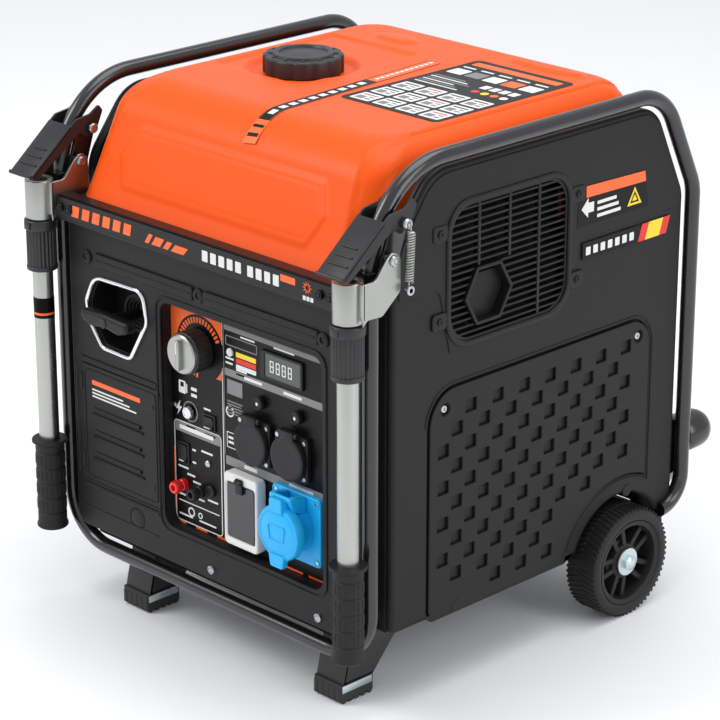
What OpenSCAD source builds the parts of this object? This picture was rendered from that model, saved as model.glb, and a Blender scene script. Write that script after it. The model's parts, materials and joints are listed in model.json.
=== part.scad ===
// Enclosed inverter generator on two wheels and two feet, with a tubular cage,
// fold-out telescopic handles, a front control panel and an engine set inside.
// X is the width, +Y runs from the control panel to the back, +Z is up, and the
// ground is z = 0. The origin is the middle of the footprint.

/* [Cage] */
// Outside diameter of the cage tube
cage_tube_d = 19; // [18:0.5:20]
// Distance between the tube axes of the two side loops
cage_width = 528; // [526:1:530]
// Height of the top rail axis above the ground
rail_z = 655; // [652:1:658]
// Height of the lower front crossbar axis above the ground
front_bar_z = 75; // [74:1:76]
// Bend radius at the top front of each side loop
front_bend_r = 110; // [106:1:112]

/* [Casing] */
// Distance between the outer faces of the two side shells
casing_width = 524; // [522:1:526]
// Height of the casing's bottom edge above the ground
casing_bottom = 98; // [96:1:100]
// Wall thickness of the plastic casing
wall = 4; // [3:0.5:4]
// Half width of the tank cover
cover_half = 226; // [222:1:228]
// Height of the tank cover's crown above the ground
cover_top = 664; // [662:1:668]

/* [Wheels and feet] */
// Outside diameter of a wheel
wheel_d = 140; // [138:1:140]
// Width of a wheel's tread
wheel_w = 46; // [44:1:46]
// Distance between the outer faces of the wheels
wheel_track = 568; // [566:1:570]
// Diameter of the axle
axle_d = 16; // [14:1:16]
// Width of a foot pad
pad_w = 45; // [42:1:46]

/* [Handles] */
// Outside diameter of a telescopic handle tube
handle_tube_d = 25; // [24:0.5:25]
// Diameter of the rubber grip
grip_d = 36; // [34:1:37]
// Length of the rubber grip
grip_len = 118; // [112:1:120]
// Diameter of the pivot bolts
pivot_d = 8; // [7:0.5:8]

/* [Controls] */
// Diameter of the dial knob
knob_d = 52; // [48:1:53]
// Diameter of a mains socket lid
socket_lid_d = 50; // [46:1:51]
// Diameter of the heavy socket's round lid
heavy_lid_d = 68; // [64:1:70]
// Diameter of the fuel cap
cap_d = 100; // [96:1:102]

/* [Hidden] */
$fn = 48;

cage_r = cage_tube_d / 2;
cage_x = cage_width / 2;
front_y = -277;
rear_y = 272;
leg_top_z = rail_z - front_bend_r;
hoop_bend_r = 65;
slant = 64;
rear_bend_r = 69;
knee_r = 60;
toe_r = 40;
toe_z = 113;
rail_end_y = 167;
slant_start = [rail_end_y + rear_bend_r * sin(slant), rail_z - rear_bend_r * (1 - cos(slant))];
knee_y = rear_y - knee_r + knee_r * sin(slant);
weld_gap = 0.05;
slant_len = (knee_y - slant_start[0]) / cos(slant);
knee_z = slant_start[1] - slant_len * sin(slant);
knee_centre_z = knee_z - knee_r * cos(slant);

side_x = casing_width / 2;
shell_in_x = side_x - wall;
rim_depth = 40;
shell_front_y = -290;
panel_y = -272;
wheel_r = wheel_d / 2;
wheel_y = 157;
wheel_out_x = wheel_track / 2;
wheel_in_x = wheel_out_x - wheel_w;
arch_r = 84;
handle_y = -311;
handle_r = handle_tube_d / 2;
pivot_y = -265;
pivot_z = 563;
latch_y = -245;
latch_z = 600;
plate_x = 24;
crank_z = 235;
crank_x = -20;

// Points of a polygon whose corners [x, y, r] are rounded to radius r.
function turn_dir(a, b) = [b[0] - a[0], b[1] - a[1]] / norm([b[0] - a[0], b[1] - a[1]]);
function corner_arc(a, b, c, steps) =
  let (u = turn_dir(b, a), v = turn_dir(b, c), r = b[2])
  let (half = acos(min(1, max(-1, u * v))) / 2)
  let (m = (u + v) / norm(u + v), centre = [b[0], b[1]] + m * r / sin(half))
  let (p = [b[0], b[1]] + u * r / tan(half), q = [b[0], b[1]] + v * r / tan(half))
  let (a0 = atan2(p[1] - centre[1], p[0] - centre[0]))
  let (a1 = atan2(q[1] - centre[1], q[0] - centre[0]))
  let (raw = a1 - a0, sweep = raw > 180 ? raw - 360 : raw < -180 ? raw + 360 : raw)
  [for (i = [0:steps]) centre + r * [cos(a0 + sweep * i / steps), sin(a0 + sweep * i / steps)]];
function rounded(pts, steps = 5) =
  [for (i = [0:len(pts) - 1])
    let (n = len(pts), b = pts[i])
    each (b[2] > 0 ? corner_arc(pts[(i + n - 1) % n], b, pts[(i + 1) % n], steps) : [[b[0], b[1]]])];

// A plate whose outline lies in the YZ plane, between x0 and x1.
module side_plate(x0, x1) {
  translate([x0, 0, 0]) rotate([90, 0, 90]) linear_extrude(x1 - x0) children();
}
// A plate whose outline lies in the XZ plane, from y0 to y1.
module front_plate(y0, y1) {
  translate([0, y1, 0]) rotate([90, 0, 0]) linear_extrude(y1 - y0) children();
}
// A block given by its lowest and highest corners.
module block(low, high) {
  translate(low) cube(high - low);
}
// A round bar from point p to point q.
module bar(p, q, d) {
  v = q - p;
  translate(p) rotate([0, acos(v[2] / norm(v)), atan2(v[1], v[0])]) cylinder(h = norm(v), d = d);
}
// A bar along X, Y or Z with its middle or start at p.
module bar_x(p, len, d) {
  translate(p) rotate([0, 90, 0]) cylinder(h = len, d = d);
}
module bar_y(p, len, d) {
  translate(p) rotate([-90, 0, 0]) cylinder(h = len, d = d);
}
// A tube bend in the YZ plane.
module side_bend(x, centre, bend_r, from, sweep) {
  translate([x, centre[0], centre[1]]) rotate([90, 0, 90]) rotate([0, 0, from])
    rotate_extrude(angle = sweep) translate([bend_r, 0]) circle(r = cage_r);
}
// The straight tube that leaves such a bend at angle from, where the bend begins.
module side_run(x, centre, bend_r, from, len) {
  translate([x, centre[0], centre[1]]) rotate([90, 0, 90]) rotate([0, 0, from])
    translate([bend_r, 0, 0]) rotate([90, 0, 0]) linear_extrude(len) circle(r = cage_r);
}
// A tube bend in the XZ plane.
module front_bend(centre, bend_r, from, sweep) {
  translate(centre) rotate([90, 0, 0]) rotate([0, 0, from])
    rotate_extrude(angle = sweep) translate([bend_r, 0]) circle(r = cage_r);
}
module mirrored() {
  children();
  mirror([1, 0, 0]) children();
}
module left_of() {
  mirror([1, 0, 0]) children();
}

// ---- Cage ----
module front_hoop() {
  bend_x = cage_x - hoop_bend_r;
  color("#1b1b1c") union() {
    bar_x([-bend_x, front_y, front_bar_z], 2 * bend_x, cage_tube_d);
    mirrored() {
      front_bend([bend_x, front_y, front_bar_z + hoop_bend_r], hoop_bend_r, -90, 90);
      translate([cage_x, front_y, front_bar_z + hoop_bend_r])
        cylinder(h = leg_top_z - front_bar_z - hoop_bend_r, d = cage_tube_d);
    }
  }
}
module side_rail(x) {
  union() {
    side_bend(x, [front_y + front_bend_r, leg_top_z], front_bend_r, 90, 90);
    side_run(x, [front_y + front_bend_r, leg_top_z], front_bend_r, 90, rail_end_y - front_y - front_bend_r);
    side_bend(x, [rail_end_y, rail_z - rear_bend_r], rear_bend_r, 90 - slant, slant);
    side_bend(x, [rear_y - knee_r, knee_centre_z], knee_r, 0, 90 - slant);
    translate([x, rear_y - knee_r, knee_centre_z]) rotate([90, 0, 90]) rotate([0, 0, 90 - slant])
      translate([knee_r, weld_gap, 0]) rotate([-90, 0, 0]) linear_extrude(slant_len - 2 * weld_gap)
        circle(r = cage_r);
    translate([x, rear_y, toe_z + toe_r]) cylinder(h = knee_centre_z - toe_z - toe_r, d = cage_tube_d);
    side_bend(x, [rear_y - toe_r, toe_z + toe_r], toe_r, -90, 90);
  }
}
module side_rail_right() color("#1b1b1c") side_rail(cage_x);
module side_rail_left() color("#1b1b1c") side_rail(-cage_x);

// Pairs of ears welded to each leg, which carry the handle and latch pivots.
module hinge_plates() {
  ear_outline = [[-277, 520, 0], [-258, 520, 4], [-232, 600, 0], [-244, 613, 8], [-258, 600, 0],
    [-277, 560, 0]];
  color("#1b1b1c") mirrored() difference() {
    union() for (x = [cage_x - 13.2, cage_x + 9.2])
      side_plate(x, x + 4) polygon(rounded(ear_outline));
    bar_x([cage_x - 30, pivot_y, pivot_z], 60, pivot_d + 0.1);
    bar_x([cage_x - 30, latch_y, latch_z], 60, pivot_d + 0.1);
    union() {
      translate([cage_x, front_y, 500]) cylinder(h = leg_top_z - 500, d = cage_tube_d);
      side_bend(cage_x, [front_y + front_bend_r, leg_top_z], front_bend_r, 120, 60);
    }
  }
}
module header_bar() {
  top = 531;
  low = 500;
  color("#202124") difference() {
    block([-240, -305, low], [240, -286, top]);
    block([-237, -302, low - 1], [237, -285, top - 3]);
    for (x = [-232, -215, 215, 232]) bar_y([x, -306, 516], 5, 5);
  }
}
module base_tray() {
  outline = [[-236, -267, 14], [236, -267, 14], [236, 78, 0], [226, 88, 0], [226, 232, 0], [254, 232, 0],
    [254, 256, 8], [-254, 256, 8], [-254, 232, 0], [-226, 232, 0], [-226, 88, 0], [-236, 78, 0]];
  color("#1b1b1c") difference() {
    union() {
      translate([0, 0, 84]) linear_extrude(14) polygon(rounded(outline));
      mirrored() side_plate(196, 204) polygon([[120, 84], [194, 84], [176, 60], [138, 60]]);
      mirrored() block([243, 236, 98], [254, 255, 109]);
    }
    translate([0, 0, 88]) linear_extrude(20)
      polygon(rounded([[-228, -259, 10], [228, -259, 10], [228, 74, 0], [218, 84, 0], [218, 248, 6],
        [-218, 248, 6], [-218, 84, 0], [-228, 74, 0]]));
    bar_x([-260, wheel_y, wheel_r], 520, axle_d + 0.1);
    for (y = [-180, -20, 200]) for (x = [-150, 150]) translate([x, y, 80]) cylinder(h = 20, d = 12);
    mirrored() side_bend(cage_x, [rear_y - toe_r, toe_z + toe_r], toe_r, -90, 90);
  }
}
module axle() {
  color("#9a9da0") union() {
    bar_x([-wheel_out_x + 6, wheel_y, wheel_r], 2 * (wheel_out_x - 6), axle_d - 4);
    bar_x([-wheel_in_x + 3, wheel_y, wheel_r], 2 * (wheel_in_x - 3), axle_d);
    mirrored() bar_x([wheel_out_x - 6, wheel_y, wheel_r], 2.5, 34);
    mirrored() translate([wheel_out_x - 3.5, wheel_y, wheel_r]) rotate([0, 90, 0])
      cylinder(h = 8, d = 20, $fn = 6);
  }
}
// Sheet metal feet: a front plate and two side plates over a rubber pad.
module foot_bracket(x0) {
  side = [[-264, 24, 0], [-216, 24, 0], [-182, 61, 0], [-150, 84, 0], [-250, 84, 0]];
  union() {
    for (x = [x0, x0 + pad_w - 3]) side_plate(x, x + 3) polygon(rounded(side));
    front = [[-264, 24], [-261, 24], [-247, 84], [-250, 84]];
    side_plate(x0, x0 + pad_w) polygon(front);
    block([x0, -264, 24], [x0 + pad_w, -216, 27]);
  }
}
foot_x = [163, -181];
module front_foot_brackets() {
  color("#202122") for (x = foot_x) foot_bracket(x);
}
module foot_pads() {
  teeth = 5;
  pitch = 52 / teeth;
  color("#2a2a2b") for (x0 = foot_x) difference() {
    block([x0, -268, 0], [x0 + pad_w, -216, 24]);
    for (i = [1:teeth - 1]) bar_x([x0 - 1, -268 + i * pitch, 0], pad_w + 2, 6);
  }
}
bumper_x = 244;
module rear_bumpers() {
  color("#161617") mirrored() union() {
    block([212, 261.2, 128], [254, 282, 222]);
    bar_y([bumper_x, 282, 190], 34, 44);
    translate([bumper_x, 316, 190]) difference() {
      sphere(r = 22);
      translate([-30, -60, -30]) cube(60);
    }
  }
}

// ---- Casing ----
side_outline = [[-240, casing_bottom, 8], [70, casing_bottom, 0], [84, 110, 0], [228, 110, 0], [230, 125, 0],
  [257, 125, 26], [257, 524, 40], [202, 640, 46], [-178, 640, 56], [-240, 560, 60]];
module side_skin() {
  difference() {
    polygon(rounded(side_outline));
    translate([wheel_y, wheel_r]) circle(r = arch_r);
  }
}
grille_low = [-152, 428];
grille_high = [46, 592];
module grille_hole(grow) {
  polygon(rounded([[grille_low[0] - grow, grille_low[1] - grow, 34],
    [grille_high[0] + grow, grille_low[1] - grow, 34], [grille_high[0] + grow, grille_high[1] + grow, 34],
    [grille_low[0] - grow, grille_high[1] + grow, 34]]));
}
module access_outline(shrink) {
  difference() {
    polygon(rounded([[-180 + shrink, casing_bottom + 2 + shrink, 8],
      [202 - shrink, casing_bottom + 2 + shrink, 0], [202 - shrink, 377 - shrink, 34], [-180 + shrink, 377 - shrink, 42]]));
    translate([wheel_y, wheel_r]) circle(r = arch_r + 26 + shrink);
  }
}
module side_shell() {
  color("#2b2c2d") difference() {
    union() {
      side_plate(shell_in_x, side_x) side_skin();
      side_plate(shell_in_x - 14, side_x) rim_ring();
      side_plate(shell_in_x - rim_depth, side_x) intersection() {
        rim_ring();
        translate([-300, 90]) square([600, 408]);
      }
    }
    side_plate(shell_in_x - 1, side_x + 1) grille_hole(0);
    side_plate(side_x - 3.2, side_x + 1) access_outline(-0.4);
    side_plate(shell_in_x - 1, side_x) access_outline(14);
    for (z = [132, 300, 480]) bar_x([shell_in_x - 20, -232, z], 30, 4);
  }
}
module rim_ring() {
  difference() {
    side_skin();
    offset_frame();
  }
}
// The part of the side outline that stays hollow behind the rim.
module offset_frame() {
  polygon(rounded([[-236, casing_bottom + 4, 6], [68, casing_bottom + 4, 0], [68, 150, 0], [110, 180, 0],
    [205, 180, 0], [242, 143, 0], [253, 152, 0], [253, 524, 38], [200, 636, 44], [-178, 636, 54],
    [-236, 560, 58]]));
}
module right_shell() side_shell();
module left_shell() left_of() side_shell();
module rear_shell() {
  color("#262728") difference() {
    union() {
      block([-238, 257, 100], [238, 261, 520]);
      block([-216, 249, 100], [216, 261, 104]);
    }
    for (i = [0:8]) block([-150, 250, 200 + 18 * i], [150, 270, 208 + 18 * i]);
  }
}
recess_low = [-73, 149];
recess_high = [201, 433];
door_low = [-222, 166];
door_high = [-78, 318];
door_barrels = [180, 284];
recoil_points = [[-206, 404, 14], [-202, 378, 12], [-178, 347, 12], [-126, 346, 12], [-94, 400, 22],
  [-100, 438, 16], [-190, 436, 22]];
module recess_outline(grow) {
  polygon(rounded([[recess_low[0] - grow, recess_low[1] - grow, 16 + grow],
    [recess_high[0] + grow, recess_low[1] - grow, 16 + grow],
    [recess_high[0] + grow, recess_high[1] + grow, 14 + grow],
    [recess_low[0] - grow, recess_high[1] + grow, 14 + grow]]));
}
module front_shell() {
  color("#2b2c2d") difference() {
    union() {
      front_plate(shell_front_y, shell_front_y + wall)
        polygon(rounded([[-238, casing_bottom + 4, 14], [238, casing_bottom + 4, 14], [238, 499, 0],
          [-238, 499, 0]]));
      for (s = [-1, 1]) block([s > 0 ? 234 : -238, shell_front_y + wall, casing_bottom + 20],
        [s > 0 ? 238 : -234, -242, 499]);
      block([-234, shell_front_y + wall, casing_bottom + 4], [234, -264, casing_bottom + 8]);
      front_plate(shell_front_y + 1, panel_y - 0.2) recess_outline(3);
    }
    front_plate(shell_front_y - 1, panel_y + 1) recess_outline(0);
    front_plate(shell_front_y - 1, shell_front_y + wall + 1) polygon(rounded([[-202, 404, 12], [-198, 380, 10],
      [-176, 351, 10], [-128, 350, 10], [-98, 400, 20], [-104, 434, 14], [-188, 432, 20]]));
    block([door_low[0] - 0.5, shell_front_y - 1, door_low[1] - 0.5],
      [door_high[0] + 0.5, shell_front_y + wall + 1, door_high[1] + 0.5]);
    for (z = door_barrels) translate([door_low[0], shell_front_y, z - 0.5]) cylinder(h = 21, d = 5.8);
    bar_y([-124, shell_front_y - 1, 140], 10, 26);
    mirrored() translate([cage_x, front_y, 60]) cylinder(h = 470, d = cage_tube_d + 3);
    for (x = [11, 194]) bar_y([x, shell_front_y - 1, 116], 10, 6);
  }
}
module cover_side(inset) {
  polygon(rounded([[-284 + inset, 527, 0], [-246 + inset, 612 - inset, 30], [-200, cover_top - inset, 70],
    [120, cover_top - inset, 0], [172, cover_top - 4 - inset, 40], [258 - inset, 527, 0]]));
}
module cover_front(inset) {
  polygon(rounded([[-cover_half - 10 + inset, 526, 0], [-cover_half + inset, cover_top - inset, 36],
    [cover_half - inset, cover_top - inset, 36], [cover_half + 10 - inset, 526, 0]]));
}
module cover_form(inset) {
  intersection() {
    side_plate(-240, 240) cover_side(inset);
    front_plate(-300, 300) cover_front(inset);
  }
}
cap_x = -104;
cap_y = -26;
module tank_cover() {
  color("#ff5a14") difference() {
    cover_form(0);
    difference() {
      cover_form(wall);
      block([-240, -300, cover_top - wall - 1], [240, 300, cover_top + 1]);
    }
    translate([0, 0, -2]) difference() {
      cover_form(wall);
      block([-240, -300, 532], [240, 300, cover_top + 1]);
    }
    translate([cap_x, cap_y, 600]) cylinder(h = 80, d = 66);
    translate([cap_x, cap_y, 656]) cylinder(h = 20, d = cap_d + 12);
  }
}
module fuel_tank() {
  color("#303133") union() {
    difference() {
      union() {
        block([-190, -200, 500], [190, 170, 640]);
        translate([cap_x, cap_y, 640]) cylinder(h = 18, d = 60);
      }
      block([-187, -197, 503], [187, 167, 637]);
      translate([cap_x, cap_y, 630]) cylinder(h = 40, d = 52);
    }
    for (y = [-196, 110]) mirrored() block([189, y, 515], [shell_in_x - 0.2, y + 30, 521]);
    translate([150, 150, 488]) cylinder(h = 12.5, d = 12);
  }
}
module fuel_cap() {
  lobes = 12;
  color("#2a2a2c") union() {
    difference() {
      translate([cap_x, cap_y, 661]) cylinder(h = 23, d = cap_d);
      translate([cap_x, cap_y, 650]) cylinder(h = 30, d = cap_d - 10);
      for (i = [0:lobes - 1]) translate([cap_x, cap_y, 655]) rotate([0, 0, i * 360 / lobes])
        translate([cap_d / 2 + 5, 0, 0]) cylinder(h = 40, d = 16);
    }
    translate([cap_x, cap_y, 650]) cylinder(h = 31, d = 51);
  }
}
panel_studs = [[-157, 354], [182, 350], [184, 196]];
module access_panel() {
  color("#2d2e2f") union() {
    difference() {
      side_plate(side_x - 3, side_x) access_outline(0);
      for (p = panel_studs) bar_x([side_x - 4, p[0], p[1]], 6, 6);
    }
    for (p = panel_studs) bar_x([side_x - 3.1, p[0], p[1]], 3.5, 5.9);
  }
}
module access_panel_right() access_panel();
module access_panel_left() left_of() access_panel();

// A louvred grille: an outer ring, slats along Y and three uprights.
module grille(collar_gap) {
  slats = 13;
  pitch = (grille_high[1] - grille_low[1]) / slats;
  color("#1f2021") difference() {
    union() {
      side_plate(side_x - 6, side_x + 2) difference() {
        grille_hole(8);
        grille_hole(-6);
      }
      intersection() {
        side_plate(side_x - 8, side_x) grille_hole(-5);
        union() {
          for (i = [1:slats - 1]) block([side_x - 6, grille_low[0], grille_low[1] + i * pitch - 1.5],
            [side_x - 1, grille_high[0], grille_low[1] + i * pitch + 1.5]);
          for (i = [1:3]) block([side_x - 7, grille_low[0] + i * 49.5 - 2, grille_low[1]],
            [side_x, grille_low[0] + i * 49.5 + 2, grille_high[1]]);
        }
      }
    }
    if (collar_gap) side_plate(side_x - 10, side_x + 4) translate([-88, 478]) circle(d = 79, $fn = 6);
    side_plate(side_x - 8, side_x + 0.05) difference() {
      grille_hole(20);
      grille_hole(-0.4);
    }
  }
}
module exhaust_grille() grille(true);
module intake_grille() left_of() grille(false);
module exhaust_collar() {
  color("#232324") difference() {
    side_plate(side_x - 60, side_x + 1) translate([-88, 478]) circle(d = 78, $fn = 6);
    side_plate(side_x - 57, side_x + 2) translate([-88, 478]) circle(d = 68, $fn = 6);
    bar_x([side_x - 62, -88, 478], 10, 36);
  }
}

// ---- Starter recess and service door ----
module recoil_cup() {
  color("#18181a") difference() {
    front_plate(-285.8, -246) polygon(rounded(recoil_points));
    front_plate(-287, -249) polygon(rounded([[-200, 404, 12], [-196, 381, 10], [-175, 353, 10], [-129, 352, 10],
      [-100, 400, 20], [-105, 432, 14], [-187, 430, 20]]));
    bar_y([-148, -252, 392], 12, 6);
  }
}
module recoil_trim() {
  color("#c9cbcc") difference() {
    front_plate(-293, -290.1) polygon(rounded(recoil_points));
    front_plate(-294, -289) polygon(rounded([[-200.5, 404, 12], [-196.5, 381, 10], [-175.5, 353, 10],
      [-128.5, 352, 10], [-99.5, 400, 20], [-104.5, 432.5, 14], [-187, 430.5, 20]]));
  }
}
module recoil_handle() {
  color("#232325") union() {
    front_plate(-314, -296) polygon(rounded([[-190, 386, 6], [-106, 386, 6], [-106, 400, 6], [-190, 400, 6]]));
    bar_y([-148, -300, 392], 45, 11.8);
    bar_y([-148, -256, 392], 76, 5);
  }
}
module service_door() {
  color("#2d2e2f") union() {
    difference() {
      block([door_low[0], shell_front_y, door_low[1]], [door_high[0], shell_front_y + 3, door_high[1]]);
      for (z = [190, 294]) bar_y([-92, shell_front_y - 1, z], 6, 5);
    }
    for (i = [0:2]) block([-200, shell_front_y - 3, 200 + 28 * i], [-108, shell_front_y, 206 + 28 * i]);
    for (z = door_barrels) translate([door_low[0], shell_front_y, z]) cylinder(h = 20, d = 5);
  }
}
// Header and casing bolts, and the pivot bolts of the handles and latches.
module bolts() {
  color("#b9bbbd") union() {
    for (x = [-232, -215, 215, 232]) {
      bar_y([x, -309, 516], 4, 11);
      bar_y([x, -305, 516], 9, 4.9);
    }
    for (x = [11, 194]) {
      bar_y([x, -294, 116], 4, 11);
      bar_y([x, -290, 116], 9, 5.9);
    }
    mirrored() for (p = [[pivot_y, pivot_z], [latch_y, latch_z]]) {
      for (x = [cage_x - 25, cage_x + 10]) bar_x([x, p[0], p[1]], 15, pivot_d);
      for (x = [cage_x - 27.4, cage_x + 24.4]) bar_x([x, p[0], p[1]], 3, 13);
    }
  }
}

// ---- Control panel ----
module control_panel() {
  color("#121213") difference() {
    block([-80, panel_y, 142], [208, panel_y + 4, 440]);
    bar_y([-22, panel_y - 1, 383], 8, 10.1);
    bar_y([-42, panel_y - 1, 298], 8, 10.1);
    for (p = [[82, 344], [145, 344]]) bar_y([p[0], panel_y - 1, p[1]], 8, 9);
    block([-16.4, panel_y - 1, 285.4], [0.4, panel_y + 6, 301.6]);
    block([-62.4, panel_y - 1, 230.4], [-47.6, panel_y + 6, 253.6]);
    for (x = [75, 138]) bar_y([x, panel_y - 1, 295], 8, 40);
    block([44, panel_y - 1, 176], [78, panel_y + 6, 230]);
    bar_y([147, panel_y - 1, 212], 8, 60);
    for (x = [-56, -25]) bar_y([x, panel_y - 1, 201], 8, 6);
  }
}
module display_module() {
  color("#1c2a1e") union() {
    block([88, panel_y - 4, 378], [152, panel_y, 410]);
    block([98, panel_y - 5, 384], [142, panel_y - 4, 404]);
  }
}
module dial_knob() {
  flutes = 20;
  color("#1f2022") union() {
    difference() {
      bar_y([-22, panel_y - 30, 383], 28, knob_d);
      for (i = [0:flutes - 1]) translate([-22, panel_y - 31, 383]) rotate([0, i * 360 / flutes, 0])
        translate([knob_d / 2 + 1.2, 0, 0]) rotate([-90, 0, 0]) cylinder(h = 30, d = 5);
    }
    bar_y([-22, panel_y - 32, 383], 2, knob_d - 8);
    bar_y([-22, panel_y - 2, 383], 12, 10);
  }
}
// A breaker reset button: a collar in front of the panel and a stem through it.
module reset_button(x) {
  union() {
    bar_y([x, panel_y - 8, 344], 6, 16);
    bar_y([x, panel_y - 2, 344], 12, 8.9);
  }
}
module reset_button_inner() color("#232325") reset_button(82);
module reset_button_outer() color("#232325") reset_button(145);
module start_button() {
  color("#c8c9ca") union() {
    bar_y([-42, panel_y - 7, 298], 5, 15);
    bar_y([-42, panel_y - 2, 298], 12, 10);
  }
}
module rocker(x0, x1, z0, z1) {
  mid = (z0 + z1) / 2;
  union() {
    side_plate(x0, x1) polygon([[panel_y - 1, z0], [panel_y - 5, z0], [panel_y - 2.5, mid], [panel_y - 4, z1],
      [panel_y - 1, z1]]);
    side_plate(x0 + 2, x1 - 2) polygon([[panel_y - 1, mid - 5], [panel_y + 9, mid - 2], [panel_y + 9, mid + 2],
      [panel_y - 1, mid + 5]]);
    bar_x([x0 + 1, panel_y + 1, mid], x1 - x0 - 2, 4);
  }
}
module mode_rocker() color("#202022") rocker(-16, 0, 286, 301);
module dc_rocker() color("#202022") rocker(-62, -48, 231, 253);
module terminal_posts() {
  color("#c0261c") for (x = [-56, -25]) union() {
    bar_y([x, panel_y - 20, 201], 20, 15);
    bar_y([x, panel_y, 201], 12, 5.9);
  }
}
module socket_bases() {
  color("#19191b") for (x = [75, 138]) union() {
    difference() {
      block([x - 27, panel_y - 7, 268], [x + 27, panel_y, 322]);
      bar_y([x, panel_y - 8, 295], 10, 40);
    }
    difference() {
      bar_y([x, panel_y - 6.9, 295], 40, 39.9);
      bar_y([x, panel_y - 7, 295], 32, 36);
    }
    for (s = [-9.5, 9.5]) bar_y([x + s, panel_y + 2, 295], 24, 4.8);
  }
}
// A round sprung lid that swings up about a pin along its top edge.
module socket_lid(x) {
  union() {
    bar_y([x, panel_y - 15, 295], 7.5, socket_lid_d);
    block([x - 9, panel_y - 13, 312], [x + 9, panel_y - 8, 324]);
    bar_x([x - 9, panel_y - 10.5, 324], 18, 5);
  }
}
module socket_lid_inner() color("#1e1e20") socket_lid(75);
module socket_lid_outer() color("#1e1e20") socket_lid(138);
module breaker_box() {
  color("#e4e4e2") union() {
    difference() {
      block([32, -288, 158], [89, panel_y, 250]);
      block([37, -289, 167], [84, panel_y + 1, 238]);
    }
    block([44, -283, 176], [78, panel_y + 30, 230]);
  }
}
module breaker_window() {
  color([0.12, 0.12, 0.13, 0.8]) union() {
    block([37.5, -287.5, 168.5], [83.5, -284.5, 237.5]);
    bar_x([37.5, -287.5, 168.5], 46, 2);
    block([55, -291, 229], [67, -288.4, 246]);
    block([55, -289, 229], [67, -287, 237]);
  }
}
module heavy_socket_base() {
  color("#1593dc") union() {
    difference() {
      block([107, -280, 170], [187, panel_y, 255]);
      bar_y([147, -281, 212], 10, 58);
    }
    difference() {
      bar_y([147, -300, 212], 70, 57.9);
      bar_y([147, -301, 212], 66, 51);
    }
    for (i = [0:4]) rotate_about([147, 212], 72 * i + 18) bar_y([147 + 15, -290, 212], 58, 5);
  }
}
module rotate_about(c, a) {
  translate([c[0], 0, c[1]]) rotate([0, a, 0]) translate([-c[0], 0, -c[1]]) children();
}
module heavy_socket_lid() {
  color("#2aa0e8") union() {
    difference() {
      bar_y([147, -312, 212], 15, heavy_lid_d);
      bar_y([147, -308, 212], 12, heavy_lid_d - 7);
    }
    block([133, -312, 243], [161, -300, 255]);
    bar_x([133, -303, 255], 28, 6);
    block([139, -312, 172], [155, -304, 184]);
  }
}

// ---- Wheels ----
module wheel() {
  spokes = 5;
  rim_r = wheel_r - 15;
  color("#232324") difference() {
    union() {
      difference() {
        bar_x([wheel_in_x, wheel_y, wheel_r], wheel_w, wheel_d);
        bar_x([wheel_in_x - 1, wheel_y, wheel_r], wheel_w + 2, 2 * rim_r);
      }
      bar_x([wheel_in_x + 12, wheel_y, wheel_r], wheel_w - 20, 44);
      for (i = [0:spokes - 1]) translate([0, wheel_y, wheel_r]) rotate([i * 360 / spokes, 0, 0])
        block([wheel_in_x + 16, -11, 14], [wheel_out_x - 10, 11, rim_r + 3]);
    }
    bar_x([wheel_in_x - 2, wheel_y, wheel_r], wheel_w + 4, axle_d - 4 + 0.1);
    bar_x([wheel_in_x - 2, wheel_y, wheel_r], 6, axle_d + 2);
  }
}
module wheel_right() wheel();
module wheel_left() left_of() wheel();

// ---- Handles, modelled for the right side ----
module handle_bracket() {
  outline = [[-311, 498, 0], [-304, 504, 0], [-282, 503, 0], [-254, 526, 6], [-254, 566, 8], [-265, 574, 8],
    [-276, 566, 0], [-292, 546, 8], [-311, 546, 0]];
  color("#b4b6b2") difference() {
    union() {
      translate([cage_x, handle_y, 498]) cylinder(h = 48, r = handle_r + 5);
      for (x = [cage_x - plate_x, cage_x + plate_x - 3]) side_plate(x, x + 3) polygon(rounded(outline));
      for (x = [cage_x - plate_x, cage_x + 14]) block([x, handle_y, 505], [x + plate_x - 14, handle_y + 3, 546]);
      bar_x([cage_x + plate_x, -248, 527], 10, 7);
    }
    translate([cage_x, handle_y, 497]) cylinder(h = 64, r = handle_r + 3);
    block([cage_x - plate_x + 3, handle_y + 3, 490], [cage_x + plate_x - 3, handle_y + 60, 580]);
    bar_x([cage_x - 30, pivot_y, pivot_z], 60, pivot_d + 0.1);
  }
}
module handle_bracket_right() handle_bracket();
module handle_bracket_left() left_of() handle_bracket();
module collar() {
  ribs = 24;
  color("#1c1c1d") difference() {
    union() {
      translate([cage_x, handle_y, 433]) cylinder(h = 60, r = 18);
      translate([cage_x, handle_y, 484]) cylinder(h = 13, r = 20);
    }
    translate([cage_x, handle_y, 430]) cylinder(h = 70, r = handle_r + 0.05);
    for (i = [0:ribs - 1]) translate([cage_x, handle_y, 436]) rotate([0, 0, i * 360 / ribs])
      translate([19, 0, 0]) cylinder(h = 44, d = 3);
  }
}
module collar_right() collar();
module collar_left() left_of() collar();
module handle_tube() {
  color("#bfc1bd") difference() {
    translate([cage_x, handle_y, 98]) cylinder(h = 446, r = handle_r);
    translate([cage_x, handle_y, 97]) cylinder(h = 448, r = handle_r - 1.5);
  }
}
module handle_tube_right() handle_tube();
module handle_tube_left() left_of() handle_tube();
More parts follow.
